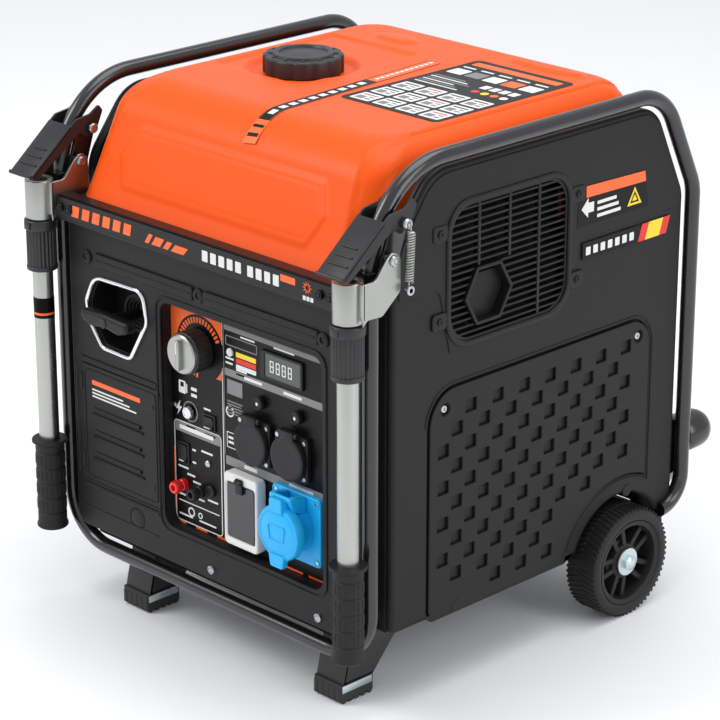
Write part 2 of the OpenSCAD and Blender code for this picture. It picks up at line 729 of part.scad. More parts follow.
module grip() {
  color("#2b2b2c") difference() {
    union() {
      translate([cage_x, handle_y, 94]) cylinder(h = grip_len, d = grip_d);
      translate([cage_x, handle_y, 94 + grip_len - 4]) cylinder(h = 5, d = grip_d + 8);
      translate([cage_x, handle_y, 94]) cylinder(h = 4, d = grip_d + 3);
    }
    translate([cage_x, handle_y, 97.9]) cylinder(h = grip_len, r = handle_r);
    for (i = [0:3]) translate([cage_x, handle_y, 110 + i * 22]) difference() {
      cylinder(h = 1.5, d = grip_d + 2);
      cylinder(h = 1.5, d = grip_d - 1.5);
    }
  }
}
module grip_right() grip();
module grip_left() left_of() grip();

// The latch lever: a channel whose upper end hooks over the cage tube.
module latch() {
  top = [[-338, 556, 3], [-268, 614, 0], [-246, 617, 4], [-232, 626, 3], [-226, 618, 3], [-236, 596, 6],
    [-250, 588, 6], [-262, 596, 0], [-331, 550, 4]];
  color("#3c3d3f") difference() {
    union() {
      for (x = [cage_x - 20.6, cage_x + 17.6]) side_plate(x, x + 3) polygon(rounded(top));
      side_plate(cage_x - 20.6, cage_x + 20.6)
        polygon([[-338, 556], [-276, 607.4], [-274, 604.9], [-336, 553.5]]);
    }
    bar_x([cage_x - 30, latch_y, latch_z], 60, pivot_d + 0.1);
  }
}
module latch_right() latch();
module latch_left() left_of() latch();
// Tension springs between the latch bolts and the bracket pins.
module latch_springs() {
  coils = 18;
  color("#c4c6c8") mirrored() union() {
    difference() {
      bar([cage_x + 31, -248.1, 532], [cage_x + 31, -245.4, 593], 10);
      bar([cage_x + 31, -248.2, 530], [cage_x + 31, -245.3, 595], 7);
    }
    for (i = [0:coils - 1]) translate([cage_x + 31, -248 + i * 0.15, 533 + i * 3.4])
      cylinder(h = 1.6, d = 11.4);
  }
}

// ---- Engine set ----
module engine_set() {
  color("#8d8f90") difference() {
    union() {
      block([crank_x - 90, -60, 130], [crank_x + 90, 90, 330]);
      translate([crank_x, 15, crank_z]) rotate([0, 35, 0]) block([-50, -50, 60], [50, 50, 190]);
      block([crank_x - 120, -70, 100], [crank_x + 120, -40, 130]);
      block([crank_x - 120, 70, 100], [crank_x + 120, 100, 130]);
      bar_y([crank_x, -170, crank_z], 110, 190);
      for (x = [crank_x - 105, crank_x + 105]) for (y = [-55, 85]) translate([x, y, 88])
        cylinder(h = 13, d = 24);
    }
    bar_y([crank_x, -175, crank_z], 111, 180);
    bar_y([crank_x, -70, crank_z], 161, 30.1);
    bar_y([crank_x, -40, crank_z], 110, 120);
  }
}
module crankshaft() {
  color("#a8aaac") union() {
    bar_y([crank_x, -180, crank_z], 262, 30);
    bar_y([crank_x, -160, crank_z], 60, 172);
    bar_y([crank_x, -96, crank_z], 20, 120);
    bar_y([crank_x, -30, crank_z], 14, 100);
    bar_y([crank_x, 20, crank_z], 14, 100);
  }
}
module muffler() {
  color("#77787a") union() {
    block([120, -150, 400], [196, 60, 480]);
    bar_x([195, -88, 478], 23, 30);
    block([60, -60, 345], [84, -35.1, 424]);
    block([60, -60, 402], [121, -35.1, 424]);
  }
}
module inverter_pack() {
  color("#5d6063") union() {
    block([-210, -230, 88], [-140, -90, 300]);
    for (i = [0:9]) block([-140.5, -228 + 14 * i, 124], [-126, -224 + 14 * i, 296]);
  }
}

front_hoop();
side_rail_right();
side_rail_left();
hinge_plates();
header_bar();
base_tray();
axle();
front_foot_brackets();
foot_pads();
rear_bumpers();
front_shell();
right_shell();
left_shell();
rear_shell();
tank_cover();
fuel_tank();
fuel_cap();
access_panel_right();
access_panel_left();
exhaust_grille();
intake_grille();
exhaust_collar();
recoil_cup();
recoil_trim();
recoil_handle();
service_door();
bolts();
control_panel();
display_module();
dial_knob();
reset_button_inner();
reset_button_outer();
start_button();
mode_rocker();
dc_rocker();
terminal_posts();
socket_bases();
socket_lid_inner();
socket_lid_outer();
breaker_box();
breaker_window();
heavy_socket_base();
heavy_socket_lid();
wheel_right();
wheel_left();
handle_bracket_right();
handle_bracket_left();
collar_right();
collar_left();
handle_tube_right();
handle_tube_left();
grip_right();
grip_left();
latch_right();
latch_left();
latch_springs();
engine_set();
muffler();
crankshaft();
inverter_pack();
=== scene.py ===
import bpy
import bmesh
import json
import math
from mathutils import Matrix, Vector


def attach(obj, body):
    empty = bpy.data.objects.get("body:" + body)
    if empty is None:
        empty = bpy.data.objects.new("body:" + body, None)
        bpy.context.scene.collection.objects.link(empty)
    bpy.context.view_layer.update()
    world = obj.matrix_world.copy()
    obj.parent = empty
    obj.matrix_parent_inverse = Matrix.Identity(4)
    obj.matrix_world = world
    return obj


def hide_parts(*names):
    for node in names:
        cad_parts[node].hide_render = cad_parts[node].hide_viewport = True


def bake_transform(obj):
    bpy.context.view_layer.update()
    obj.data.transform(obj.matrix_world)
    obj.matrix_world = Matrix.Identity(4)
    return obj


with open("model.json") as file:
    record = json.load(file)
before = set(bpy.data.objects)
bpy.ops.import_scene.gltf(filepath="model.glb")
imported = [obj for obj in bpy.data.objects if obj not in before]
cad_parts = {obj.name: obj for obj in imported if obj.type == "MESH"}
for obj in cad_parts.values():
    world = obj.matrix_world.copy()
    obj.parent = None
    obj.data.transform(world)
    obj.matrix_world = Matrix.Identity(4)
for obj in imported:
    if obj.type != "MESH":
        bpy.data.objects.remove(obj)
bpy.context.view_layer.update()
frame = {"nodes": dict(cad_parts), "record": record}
scene = bpy.context.scene
scene.view_settings.view_transform = "Standard"

# ---- materials

M = {}  # every surface by its name


def material(name, color, rough=0.5, metal=0.0, coat=0.0, grain=900, bump=0.15, mottle=0.12, spread=0.08,
        specular=0.5, alpha=1.0, transmission=0.0):
    """A surface with fine grain, slow colour mottling and uneven gloss, all from noise in metres."""
    mat = bpy.data.materials.new(name)
    mat.use_nodes = True
    nodes, links = mat.node_tree.nodes, mat.node_tree.links
    shader = nodes["Principled BSDF"]
    shader.inputs["Metallic"].default_value = metal
    shader.inputs["Coat Weight"].default_value = coat
    shader.inputs["Coat Roughness"].default_value = 0.12
    shader.inputs["Specular IOR Level"].default_value = specular
    shader.inputs["Alpha"].default_value = alpha
    shader.inputs["Transmission Weight"].default_value = transmission
    where = nodes.new("ShaderNodeTexCoord")
    fine = nodes.new("ShaderNodeTexNoise")
    fine.inputs["Scale"].default_value = grain
    fine.inputs["Detail"].default_value = 3
    links.new(where.outputs["Object"], fine.inputs["Vector"])
    slow = nodes.new("ShaderNodeTexNoise")
    slow.inputs["Scale"].default_value = 14
    slow.inputs["Detail"].default_value = 5
    links.new(where.outputs["Object"], slow.inputs["Vector"])
    tint = nodes.new("ShaderNodeMix")
    tint.data_type = "RGBA"
    tint.inputs["A"].default_value = [c * (1 - mottle) for c in color] + [1]
    tint.inputs["B"].default_value = [min(1, c * (1 + mottle)) for c in color] + [1]
    links.new(slow.outputs["Fac"], tint.inputs["Factor"])
    links.new(tint.outputs["Result"], shader.inputs["Base Color"])
    gloss = nodes.new("ShaderNodeMapRange")
    gloss.inputs["To Min"].default_value = max(0.02, rough - spread)
    gloss.inputs["To Max"].default_value = min(1, rough + spread)
    links.new(slow.outputs["Fac"], gloss.inputs["Value"])
    links.new(gloss.outputs["Result"], shader.inputs["Roughness"])
    relief = nodes.new("ShaderNodeBump")
    relief.inputs["Strength"].default_value = bump
    relief.inputs["Distance"].default_value = 0.0002
    links.new(fine.outputs["Fac"], relief.inputs["Height"])
    links.new(relief.outputs["Normal"], shader.inputs["Normal"])
    M[name] = mat
    return mat


material("cage_paint", (0.008, 0.008, 0.009), 0.22, coat=0.5, grain=350, bump=0.08)
material("tray_paint", (0.012, 0.012, 0.013), 0.42, grain=700, bump=0.2)
material("header_paint", (0.006, 0.006, 0.0065), 0.36, grain=700, bump=0.15, specular=0.3)
material("casing_plastic", (0.0125, 0.0127, 0.013), 0.42, grain=1600, bump=0.3, mottle=0.08, specular=0.2)
material("trim_plastic", (0.006, 0.006, 0.0065), 0.4, grain=1400, bump=0.25, specular=0.3)
material("cover_plastic", (0.86, 0.086, 0.001), 0.38, coat=0.04, grain=1100, bump=0.12, mottle=0.03,
    specular=0.2)
material("tank_plastic", (0.04, 0.04, 0.042), 0.55)
material("cap_plastic", (0.016, 0.016, 0.017), 0.4, grain=1500, bump=0.3)
material("bumper_rubber", (0.008, 0.008, 0.008), 0.2, coat=0.4, grain=500, bump=0.1)
material("pad_rubber", (0.02, 0.02, 0.02), 0.7, grain=900, bump=0.5)
material("grip_rubber", (0.013, 0.013, 0.0135), 0.55, grain=1100, bump=0.5, specular=0.3)
material("tyre_rubber", (0.012, 0.012, 0.0125), 0.5, grain=900, bump=0.4, specular=0.3)
material("zinc", (0.62, 0.7, 0.74), 0.28, metal=1, grain=500, bump=0.15)
material("bolt_steel", (0.5, 0.51, 0.52), 0.3, metal=1, grain=700, bump=0.15)
material("nickel_steel", (0.4, 0.41, 0.38), 0.34, metal=1, grain=320, bump=0.2, spread=0.12)
material("tube_alloy", (0.44, 0.45, 0.42), 0.3, metal=1, grain=420, bump=0.15, spread=0.1)
material("chrome_trim", (0.8, 0.8, 0.81), 0.1, metal=1, grain=200, bump=0.03)
material("panel_print", (0.003, 0.003, 0.0035), 0.4, grain=1500, bump=0.1, specular=0.2)
material("display", (0.02, 0.035, 0.022), 0.12, coat=0.6, grain=600, bump=0.03)
material("button_metal", (0.72, 0.72, 0.72), 0.25, metal=1, grain=600, bump=0.1)
material("terminal_red", (0.75, 0.012, 0.008), 0.25, coat=0.3, grain=900, bump=0.1)
material("socket_black", (0.012, 0.012, 0.013), 0.45, grain=1500, bump=0.3, specular=0.3)
material("box_white", (0.72, 0.72, 0.7), 0.4, grain=1400, bump=0.12, mottle=0.03)
material("smoked_window", (0.02, 0.02, 0.022), 0.1, coat=0.5, alpha=0.88, bump=0.03)
material("socket_blue", (0.006, 0.42, 0.85), 0.38, grain=1400, bump=0.15, mottle=0.05)
material("lever_plastic", (0.014, 0.014, 0.015), 0.3, grain=1200, bump=0.3, specular=0.4)
material("engine_alloy", (0.42, 0.43, 0.43), 0.45, metal=0.9, grain=260, bump=0.6)
material("muffler_steel", (0.16, 0.15, 0.14), 0.55, metal=0.8, grain=200, bump=0.5, mottle=0.4)
material("shaft_steel", (0.5, 0.5, 0.5), 0.28, metal=1, grain=400, bump=0.15)
material("heat_sink", (0.25, 0.26, 0.27), 0.45, metal=0.9, grain=500, bump=0.3)
material("ink_white", (0.72, 0.72, 0.71), 0.5, mottle=0.05)
material("ink_grey", (0.2, 0.2, 0.2), 0.5, mottle=0.05)
material("ink_orange", (0.9, 0.13, 0.02), 0.45, mottle=0.04)
material("ink_yellow", (0.85, 0.62, 0.02), 0.45, mottle=0.04)
material("ink_red", (0.7, 0.02, 0.015), 0.45, mottle=0.04)
material("ink_blue", (0.02, 0.12, 0.5), 0.45, mottle=0.04)

# ---- shape helpers, all in millimetres

UP, BACK, FRONT, RIGHT = (0, 0, 1), (0, 1, 0), (0, -1, 0), (1, 0, 0)
PLANES = {"x": Matrix(((0, 0, 1, 0), (1, 0, 0, 0), (0, 1, 0, 0), (0, 0, 0, 1))),
    "y": Matrix(((1, 0, 0, 0), (0, 0, -1, 0), (0, 1, 0, 0), (0, 0, 0, 1))), "z": Matrix.Identity(4)}


def arc(centre, r, a0, a1, steps=10):
    """Points on an arc, angles in degrees."""
    cx, cy = centre
    return [(cx + r * math.cos(math.radians(a0 + (a1 - a0) * i / steps)),
        cy + r * math.sin(math.radians(a0 + (a1 - a0) * i / steps))) for i in range(steps + 1)]


def rounded(points, steps=8):
    """A closed outline whose corners (a, b, r) are rounded to radius r."""
    out = []
    count = len(points)
    for i, p in enumerate(points):
        b = Vector(p[:2])
        r = p[2] if len(p) > 2 else 0
        if r <= 0:
            out.append(tuple(b))
            continue
        u = (Vector(points[i - 1][:2]) - b).normalized()
        v = (Vector(points[(i + 1) % count][:2]) - b).normalized()
        half = math.acos(max(-1, min(1, u.dot(v)))) / 2
        centre = b + (u + v).normalized() * (r / math.sin(half))
        p0, p1 = b + u * (r / math.tan(half)), b + v * (r / math.tan(half))
        a0 = math.atan2(p0.y - centre.y, p0.x - centre.x)
        sweep = (math.atan2(p1.y - centre.y, p1.x - centre.x) - a0 + math.pi) % (2 * math.pi) - math.pi
        for k in range(steps + 1):
            a = a0 + sweep * k / steps
            out.append((centre.x + r * math.cos(a), centre.y + r * math.sin(a)))
    return out


def rect(a0, b0, a1, b1, r=0.0, steps=6):
    """A rectangle with corners rounded to r."""
    return rounded([(a0, b0, r), (a1, b0, r), (a1, b1, r), (a0, b1, r)], steps)


def circle(a, b, r, steps=40):
    """A closed circle."""
    return arc((a, b), r, 0, 360 - 360 / steps, steps - 1)


def fillet_path(points, steps=14):
    """A 3-D path whose corners (point, r) are rounded to radius r."""
    out = []
    for i, (p, r) in enumerate(points):
        b = Vector(p)
        if r <= 0 or i in (0, len(points) - 1):
            out.append(b)
            continue
        u = (Vector(points[i - 1][0]) - b).normalized()
        v = (Vector(points[i + 1][0]) - b).normalized()
        half = math.acos(max(-1, min(1, u.dot(v)))) / 2
        centre = b + (u + v).normalized() * (r / math.sin(half))
        s0 = (b + u * (r / math.tan(half))) - centre
        s1 = (b + v * (r / math.tan(half))) - centre
        turn = s0.rotation_difference(s1)
        for k in range(steps + 1):
            q = turn.copy()
            q.angle = turn.angle * k / steps
            out.append(centre + q @ s0)
    return out


def curve_mesh(data, loops, cyclic):
    """The mesh of a curve that runs through each loop of points. The curve itself is removed."""
    for loop in loops:
        spline = data.splines.new("POLY")
        spline.points.add(len(loop) - 1)
        for k, p in enumerate(loop):
            spline.points[k].co = (p[0], p[1], p[2], 1)
        spline.use_cyclic_u = cyclic
    holder = bpy.data.objects.new("curve", data)
    scene.collection.objects.link(holder)
    bpy.context.view_layer.update()
    final = holder.evaluated_get(bpy.context.evaluated_depsgraph_get())
    mesh = bpy.data.meshes.new_from_object(final)
    bpy.data.objects.remove(holder)
    bpy.data.curves.remove(data)
    return mesh


class Shape:
    """One piece made of several solids, in millimetres. Each solid can have its own paint."""

    def __init__(self, *paints):
        self.bm = bmesh.new()
        self.paints = list(paints)

    def index(self, paint):
        """The slot of a paint, added when it is new."""
        if paint is None:
            return 0
        if paint not in self.paints:
            self.paints.append(paint)
        return self.paints.index(paint)

    def take(self, mesh, paint=None, matrix=None):
        """Adds a mesh and removes the original."""
        if matrix is not None:
            mesh.transform(matrix)
        k = self.index(paint)
        for face in mesh.polygons:
            face.material_index = k
        self.bm.from_mesh(mesh)
        bpy.data.meshes.remove(mesh)
        return self

    def take_bm(self, bm, paint=None, matrix=None):
        mesh = bpy.data.meshes.new("part")
        bm.to_mesh(mesh)
        bm.free()
        return self.take(mesh, paint, matrix)

    def box(self, low, high, r=1.0, paint=None, seg=2, matrix=None):
        low, high = Vector(low), Vector(high)
        size = high - low
        bm = bmesh.new()
        bmesh.ops.create_cube(bm, size=1)
        for v in bm.verts:
            v.co = Vector((v.co[i] * size[i] + (low[i] + high[i]) / 2 for i in range(3)))
        r = min(r, 0.45 * min(size))
        if r > 0:
            bmesh.ops.bevel(bm, geom=bm.edges[:], offset=r, segments=seg, profile=0.5, affect="EDGES")
        return self.take_bm(bm, paint, matrix)

    def lathe(self, profile, origin, axis, seg=56, paint=None):
        """Turns (radius, along) points about an axis. A radius of 0 closes the end."""
        bm = bmesh.new()
        turn = Vector(UP).rotation_difference(Vector(axis)).to_matrix().to_4x4()
        rings = []
        for r, h in profile:
            if r < 1e-6:
                rings.append([bm.verts.new((0, 0, h))])
            else:
                rings.append([bm.verts.new((r * math.cos(2 * math.pi * k / seg),
                    r * math.sin(2 * math.pi * k / seg), h)) for k in range(seg)])
        for one, two in zip(rings, rings[1:]):
            for k in range(seg):
                n = (k + 1) % seg
                if len(one) == 1 and len(two) > 1:
                    bm.faces.new((one[0], two[n], two[k]))
                elif len(two) == 1 and len(one) > 1:
                    bm.faces.new((one[k], one[n], two[0]))
                elif len(one) > 1:
                    bm.faces.new((one[k], one[n], two[n], two[k]))
        bmesh.ops.recalc_face_normals(bm, faces=bm.faces[:])
        return self.take_bm(bm, paint, Matrix.Translation(Vector(origin)) @ turn)

    def rod(self, origin, axis, length, r, edge=0.8, paint=None, seg=48, bore=0.0):
        """A round bar or, with a bore, a tube with rounded rims."""
        e = min(edge, 0.45 * length, 0.45 * (r - bore))
        outer = [(r - e + e * math.sin(a), e - e * math.cos(a)) for a in (0, 0.52, 1.05, 1.571)]
        end = [(r - e + e * math.cos(a), length - e + e * math.sin(a)) for a in (0, 0.52, 1.05, 1.571)]
        profile = [(bore, 0)] + outer + end + [(bore, length)]
        if bore:
            profile.append((bore, 0))
        return self.lathe(profile, origin, axis, seg, paint)

    def plate(self, plane, d0, d1, loops, edge=0.8, paint=None, res=2, matrix=None):
        """A plate with holes: loops lie in the plane, and it runs from d0 to d1 across it."""
        d0, d1 = min(d0, d1), max(d0, d1)
        edge = min(edge, 0.45 * (d1 - d0))
        data = bpy.data.curves.new("outline", "CURVE")
        data.dimensions = "2D"
        data.fill_mode = "BOTH"
        data.extrude = max(1e-4, (d1 - d0) / 2 - edge)
        data.bevel_depth = edge
        data.bevel_resolution = res
        data.offset = -edge
        mesh = curve_mesh(data, [[(p[0], p[1], 0) for p in loop] for loop in loops], True)
        mid = (d0 + d1) / 2
        shift = {"x": (mid, 0, 0), "y": (0, mid, 0), "z": (0, 0, mid)}[plane]
        place = Matrix.Translation(Vector(shift)) @ PLANES[plane]
        return self.take(mesh, paint, place if matrix is None else matrix @ place)

    def tube(self, path, r, paint=None, res=7, cyclic=False):
        """A round bar along a path."""
        data = bpy.data.curves.new("path", "CURVE")
        data.dimensions = "3D"
        data.bevel_depth = r
        data.bevel_resolution = res
        data.use_fill_caps = True
        return self.take(curve_mesh(data, [path], cyclic), paint)

    def done(self, name, body="chassis", hides=(), slot=None, mirror=False, angle=38):
        """Makes the object, in metres: it rides a body and can hide CAD nodes."""
        bm = self.bm
        if mirror:
            bmesh.ops.scale(bm, vec=(-1, 1, 1), verts=bm.verts[:])
            bmesh.ops.reverse_faces(bm, faces=bm.faces[:])
        mesh = bpy.data.meshes.new(name)
        bm.to_mesh(mesh)
        bm.free()
        mesh.transform(Matrix.Scale(0.001, 4))
        for p in self.paints:
            mesh.materials.append(M[p])
        mesh.shade_smooth()
        mesh.set_sharp_from_angle(angle=math.radians(angle))
        obj = bpy.data.objects.new(name, mesh)
        scene.collection.objects.link(obj)
        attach(obj, body)
        nodes = [hides] if isinstance(hides, str) else list(hides)
        if nodes:
            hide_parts(*nodes)
        return obj


SIDES = (("right", False), ("left", True))  # the left side is the right one mirrored


def inked(shape, plane, low, high, edge=0.05):
    """A short call that lays thin ink on a shape, between two levels."""
    def lay(loops, paint=None):
        shape.plate(plane, low, high, loops, edge, paint)
    return lay


def place(origin, *turns):
    """Moves to origin after turning about the axes given as (axis, degrees)."""
    m = Matrix.Translation(Vector(origin))
    for axis, degrees in turns:
        m = m @ Matrix.Rotation(math.radians(degrees), 4, axis)
    return m


def both(shape_of, name, node=None, body="chassis", shared=None):
    """Builds a right-hand piece and its mirror image. A shared node is hidden by the right-hand one."""
    for side, flip in SIDES:
        hides = f"{node}_{side}" if node else (() if flip else shared)
        shape_of().done(f"{name}_{side}", body.format(side), hides, mirror=flip)


# ---- cage

CAGE_X, CAGE_R, FRONT_Y, RAIL_Z = 264, 9.5, -277, 655

hoop = Shape("cage_paint")
hoop.tube(fillet_path([((CAGE_X, FRONT_Y, 545), 0), ((CAGE_X, FRONT_Y, 75), 65),
    ((-CAGE_X, FRONT_Y, 75), 65), ((-CAGE_X, FRONT_Y, 545), 0)]), CAGE_R, res=10)
hoop.done("front_hoop", hides="front_hoop")


def side_rail():
    s = Shape("cage_paint")
    s.tube(fillet_path([((CAGE_X, FRONT_Y, 545), 0), ((CAGE_X, FRONT_Y, RAIL_Z), 110),
        ((CAGE_X, 210.1, RAIL_Z), 69), ((CAGE_X, 272, 528.1), 60), ((CAGE_X, 272, 113), 40),
        ((CAGE_X, 232, 113), 0)], 18), CAGE_R, res=10)
    s.rod((CAGE_X, FRONT_Y, 540), UP, 9, CAGE_R + 0.5, 0.5)
    return s


both(side_rail, "side_rail", "side_rail")


def welded_ears():
    s = Shape("cage_paint")
    ear = rounded([(-274, 520), (-258, 520, 4), (-232, 600, 0), (-244, 613, 8), (-258, 600, 0),
        (-274, 560)])
    for x in (CAGE_X - 13.2, CAGE_X + 9.2):
        s.plate("x", x, x + 4, [ear], 0.7)
    return s


both(welded_ears, "hinge_plates", shared="hinge_plates")

header = Shape("header_paint")
header.plate("y", -305, -302, [rect(-240, 500, 240, 531, 4)], 1)
header.plate("z", 528, 531, [rect(-240, -305, 240, -286, 3)], 1)
for x0, x1 in ((-240, -237), (237, 240)):
    header.box((x0, -304, 501), (x1, -286, 530), 0.8)
header.tube([(-236, -304.4, 503), (236, -304.4, 503)], 1.2)
header.done("header_bar", hides="header_bar")

bolts = Shape("bolt_steel", "trim_plastic")
for x in (-232, -215, 215, 232):
    bolts.lathe([(0, 4.2), (2.6, 4.2), (2.9, 3.2), (3.4, 3.2), (3.6, 4), (5, 3.3), (5.6, 1.5), (5.6, 0)],
        (x, -305, 516), FRONT, 40, "trim_plastic")
    bolts.lathe([(0, 3.1), (2.8, 3.1)], (x, -305, 516), FRONT, 6)
for x in (11, 194):
    bolts.lathe([(0, 3.4), (2.4, 3.4), (2.7, 2.4), (3.2, 2.6), (3.6, 3.6), (5.2, 2.8), (5.8, 0.9),
        (5.8, 0)], (x, -290, 116), FRONT, 40)
for sx in (1, -1):
    for y, z in ((-265, 563), (-245, 600)):
        bolts.rod((sx * (CAGE_X - 25), y, z), (sx, 0, 0), 50, 4)
        for x, d in ((CAGE_X + 24.4, 1), (CAGE_X - 24.4, -1)):
            bolts.lathe([(0, 3), (2.2, 3), (2.6, 2), (3.1, 2), (3.6, 3), (5.4, 2.6), (6.5, 0.8), (6.5, 0),
                (4, 0)], (sx * x, y, z), (sx * d, 0, 0), 40)
bolts.done("bolts", hides="bolts")

# header graphics: stripes and blocks with no lettering
marks = Shape("ink_orange", "ink_white")
ink = inked(marks, "y", -305.5, -305.1)
for i in range(6):
    x = -212 + i * 19
    ink([[(x, 509), (x + 13, 509), (x + 16, 523), (x + 3, 523)]])
for i, (x, w) in enumerate(((-78, 7), (-66, 15), (-46, 9), (-32, 22))):
    ink([[(x, 508), (x + w, 508), (x + w + 8, 520 - i), (x + 8, 520 - i)]])
for i in range(9):
    x = 22 + i * 14 + (6 if i > 4 else 0)
    ink([rect(x, 509, x + 9.5, 522, 1)], "ink_white")
ink([rect(152, 517, 176, 525, 1)])
for i in range(10):
    a0 = math.radians(36 * i)
    tri = [(195 + 8 * math.cos(a0), 519 + 8 * math.sin(a0)),
        (195 + 3.4 * math.cos(a0 + 0.3), 519 + 3.4 * math.sin(a0 + 0.3)),
        (195 + 3.4 * math.cos(a0 - 0.3), 519 + 3.4 * math.sin(a0 - 0.3))]
    marks.plate("y", -305.5, -305.1, [tri], 0.02)
for i in range(3):
    ink([rect(188 + 6 * i, 504, 192.6 + 6 * i, 509, 0.2)], "ink_white")
marks.done("header_marks", slot="panel_print")

# ---- feet, axle, wheels, bumpers

def front_foot(x0):
    s = Shape("tray_paint", "bolt_steel")
    w = 45
    side = rounded([(-264, 24, 0), (-216, 24, 0), (-182, 61, 4), (-150, 84, 0), (-250, 84, 0)])
    for x in (x0, x0 + w - 3):
        s.plate("x", x, x + 3, [side], 0.5)
    s.plate("x", x0, x0 + w, [[(-264.5, 24), (-261, 24), (-246.5, 84), (-250, 84)]], 0.4)
    s.box((x0, -264, 24), (x0 + w, -216, 27), 0.5)
    s.rod((x0 + w, -238, 74), RIGHT, 4, 5, paint="bolt_steel", seg=6)
    return s


for side, x0 in (("right", 163), ("left", -181)):
    front_foot(x0).done(f"front_foot_{side}", hides="front_foot_brackets" if side == "right" else ())


def foot_pad(x0):
    s = Shape("pad_rubber", "zinc")
    outline = [(-268, 3)]
    for i in range(5):
        y0 = -268 + i * 10.4
        outline += arc((y0 + 5.2, 3), 4.2, 180, 360, 6)
    outline += [(-216, 3), (-216, 24), (-268, 24)]
    s.plate("x", x0, x0 + 45, [[(a, b + 1.2) for a, b in outline if b > -3.9]], 0.6)
    for i in range(5):
        s.box((x0 - 0.4 + i * 9.4, -268.5, 3), (x0 + 6 + i * 9.4, -266, 20), 0.7)
    s.box((x0 - 0.6, -266, 14), (x0 + 45.6, -218, 23), 0.6, "zinc")
    return s


for side, x0 in (("right", 163), ("left", -181)):
    foot_pad(x0).done(f"foot_pad_{side}", hides="foot_pads" if side == "right" else ())

axle = Shape("zinc")
axle.rod((-278, 157, 70), RIGHT, 556, 6)
axle.rod((-235, 157, 70), RIGHT, 470, 8)
for sx in (1, -1):
    axle.lathe([(6, 0), (17.5, 0), (18, 0.6), (17.5, 2.2), (6, 2.4)], (sx * 276.6, 157, 70), (sx, 0, 0),
        48)
    axle.lathe([(10.5, 0), (10.5, 4.6), (9, 5.4), (6.4, 5.4), (6.2, 6.4), (4.6, 7.6), (2.4, 8.2),
        (0, 8.4)], (sx * 279, 157, 70), (sx, 0, 0), 6)
    axle.lathe([(9.2, 0), (9.2, 5.2), (7.6, 6.4), (4, 8.1), (0, 8.6)], (sx * 279, 157, 70), (sx, 0, 0),
        40)
axle.done("axle", hides="axle")


HUB = (238, 157, 70)


def wheel():
    s = Shape("tyre_rubber")
    tread = [(55, 1), (57, 0), (64, 0), (67.5, 1.5), (69, 4.5), (69, 41.5), (67.5, 44.5), (64, 46),
        (57, 46), (55, 45), (54, 43), (54, 3), (55, 1)]
    s.lathe(tread, HUB, RIGHT, 120)
    for k in range(60):
        a = 6 * k
        for j, lean in ((0, 14), (1, -14)):
            turn = place((238 + 11.5 + 23 * j, 157, 70), ("X", a + 3 * j))
            s.box((-10.6, -1.7, 67.8), (10.6, 1.7, 70), 0.5,
                matrix=turn @ Matrix.Rotation(math.radians(lean), 4, "Z"), seg=1)
    s.lathe([(48, 3), (53.8, 1), (54.8, 3), (54.8, 43), (53.8, 45), (48, 43), (46.5, 38), (46.5, 8),
        (48, 3)], HUB, RIGHT, 96)
    s.lathe([(6.05, 6), (21, 6), (23, 9), (23, 34), (21.5, 36), (17.5, 37), (17, 38.4), (6.05, 38.4),
        (6.05, 6)], HUB, RIGHT, 64)
    for k in range(5):
        a = 72 * k + 20
        for d in (-6.2, 6.2):
            turn = place(HUB, ("X", a))
            s.plate("x", 14, 36, [[(d - 3.4, 16), (d + 3.4, 16), (d * 1.75 + 3.6, 50),
                (d * 1.75 - 3.6, 50)]], 1.4, matrix=turn)
        s.box((17, -7, 18), (31, 7, 30), 1.2, matrix=place(HUB, ("X", a)))
    return s


both(wheel, "wheel", "wheel", body="wheel_{}")


def bumper():
    s = Shape("bumper_rubber")
    s.plate("y", 261.4, 283, [rounded([(212, 222, 6), (212, 128, 6), (240, 128, 8), (254, 150, 10),
        (254, 222, 6)])], 3)
    dome = [(23.5, 0), (25, 2), (25, 30)]
    dome += [(25 * math.cos(0.157 * k), 30 + 25 * math.sin(0.157 * k)) for k in range(1, 10)] + [(0, 55)]
    s.lathe(dome, (246, 282, 195), BACK, 56)
    for z in (142, 158, 174):
        s.rod((238, 279, z), BACK, 7, 4.6, seg=24)
    return s


both(bumper, "rear_bumper", shared="rear_bumpers")

# ---- front shell

RECESS = [(-73, 149, 16), (201, 149, 16), (201, 433, 14), (-73, 433, 14)]
RECOIL = [(-206, 404, 14), (-202, 378, 12), (-178, 347, 12), (-126, 346, 12), (-94, 400, 22),
    (-100, 438, 16), (-190, 436, 22)]


def wavy(ca, cb, count, radius_at):
    """A closed outline whose radius follows the angle."""
    turns = [2 * math.pi * k / count for k in range(count)]
    return [(ca + radius_at(a) * math.cos(a), cb + radius_at(a) * math.sin(a)) for a in turns]


def inset(points, d):
    """The same outline drawn d smaller, about its middle."""
    ca = sum(p[0] for p in points) / len(points)
    cb = sum(p[1] for p in points) / len(points)
    size = max(abs(p[0] - ca) for p in points)
    k = 1 - d / size
    return [(ca + (p[0] - ca) * k, cb + (p[1] - cb) * k, max(1, p[2] - d * 0.5)) for p in points]


shell = Shape("casing_plastic")
outer = rounded([(-238, 102, 18), (238, 102, 18), (238, 499, 2), (-238, 499, 2)])
shell.plate("y", -290, -285, [outer, rounded(RECESS), rounded(inset(RECOIL, 5)),
    rect(-222.5, 165.5, -77.5, 318.5, 4), circle(-124, 140, 13)], 1.6, res=3)
for sx in (1, -1):
    x0, x1 = sorted((sx * 234, sx * 238))
    shell.box((x0, -287, 118), (x1, -242, 499), 1)
shell.box((-224, -287, 102), (224, -264, 106), 1)
shell.plate("y", -288.6, -272.2, [rounded(inset(RECESS, -3)), rounded(RECESS)], 0.8)
rim = rounded(inset(RECESS, -7), 10)
shell.tube([(a, -290.2, b) for a, b in rim], 1.8, cyclic=True, res=4)
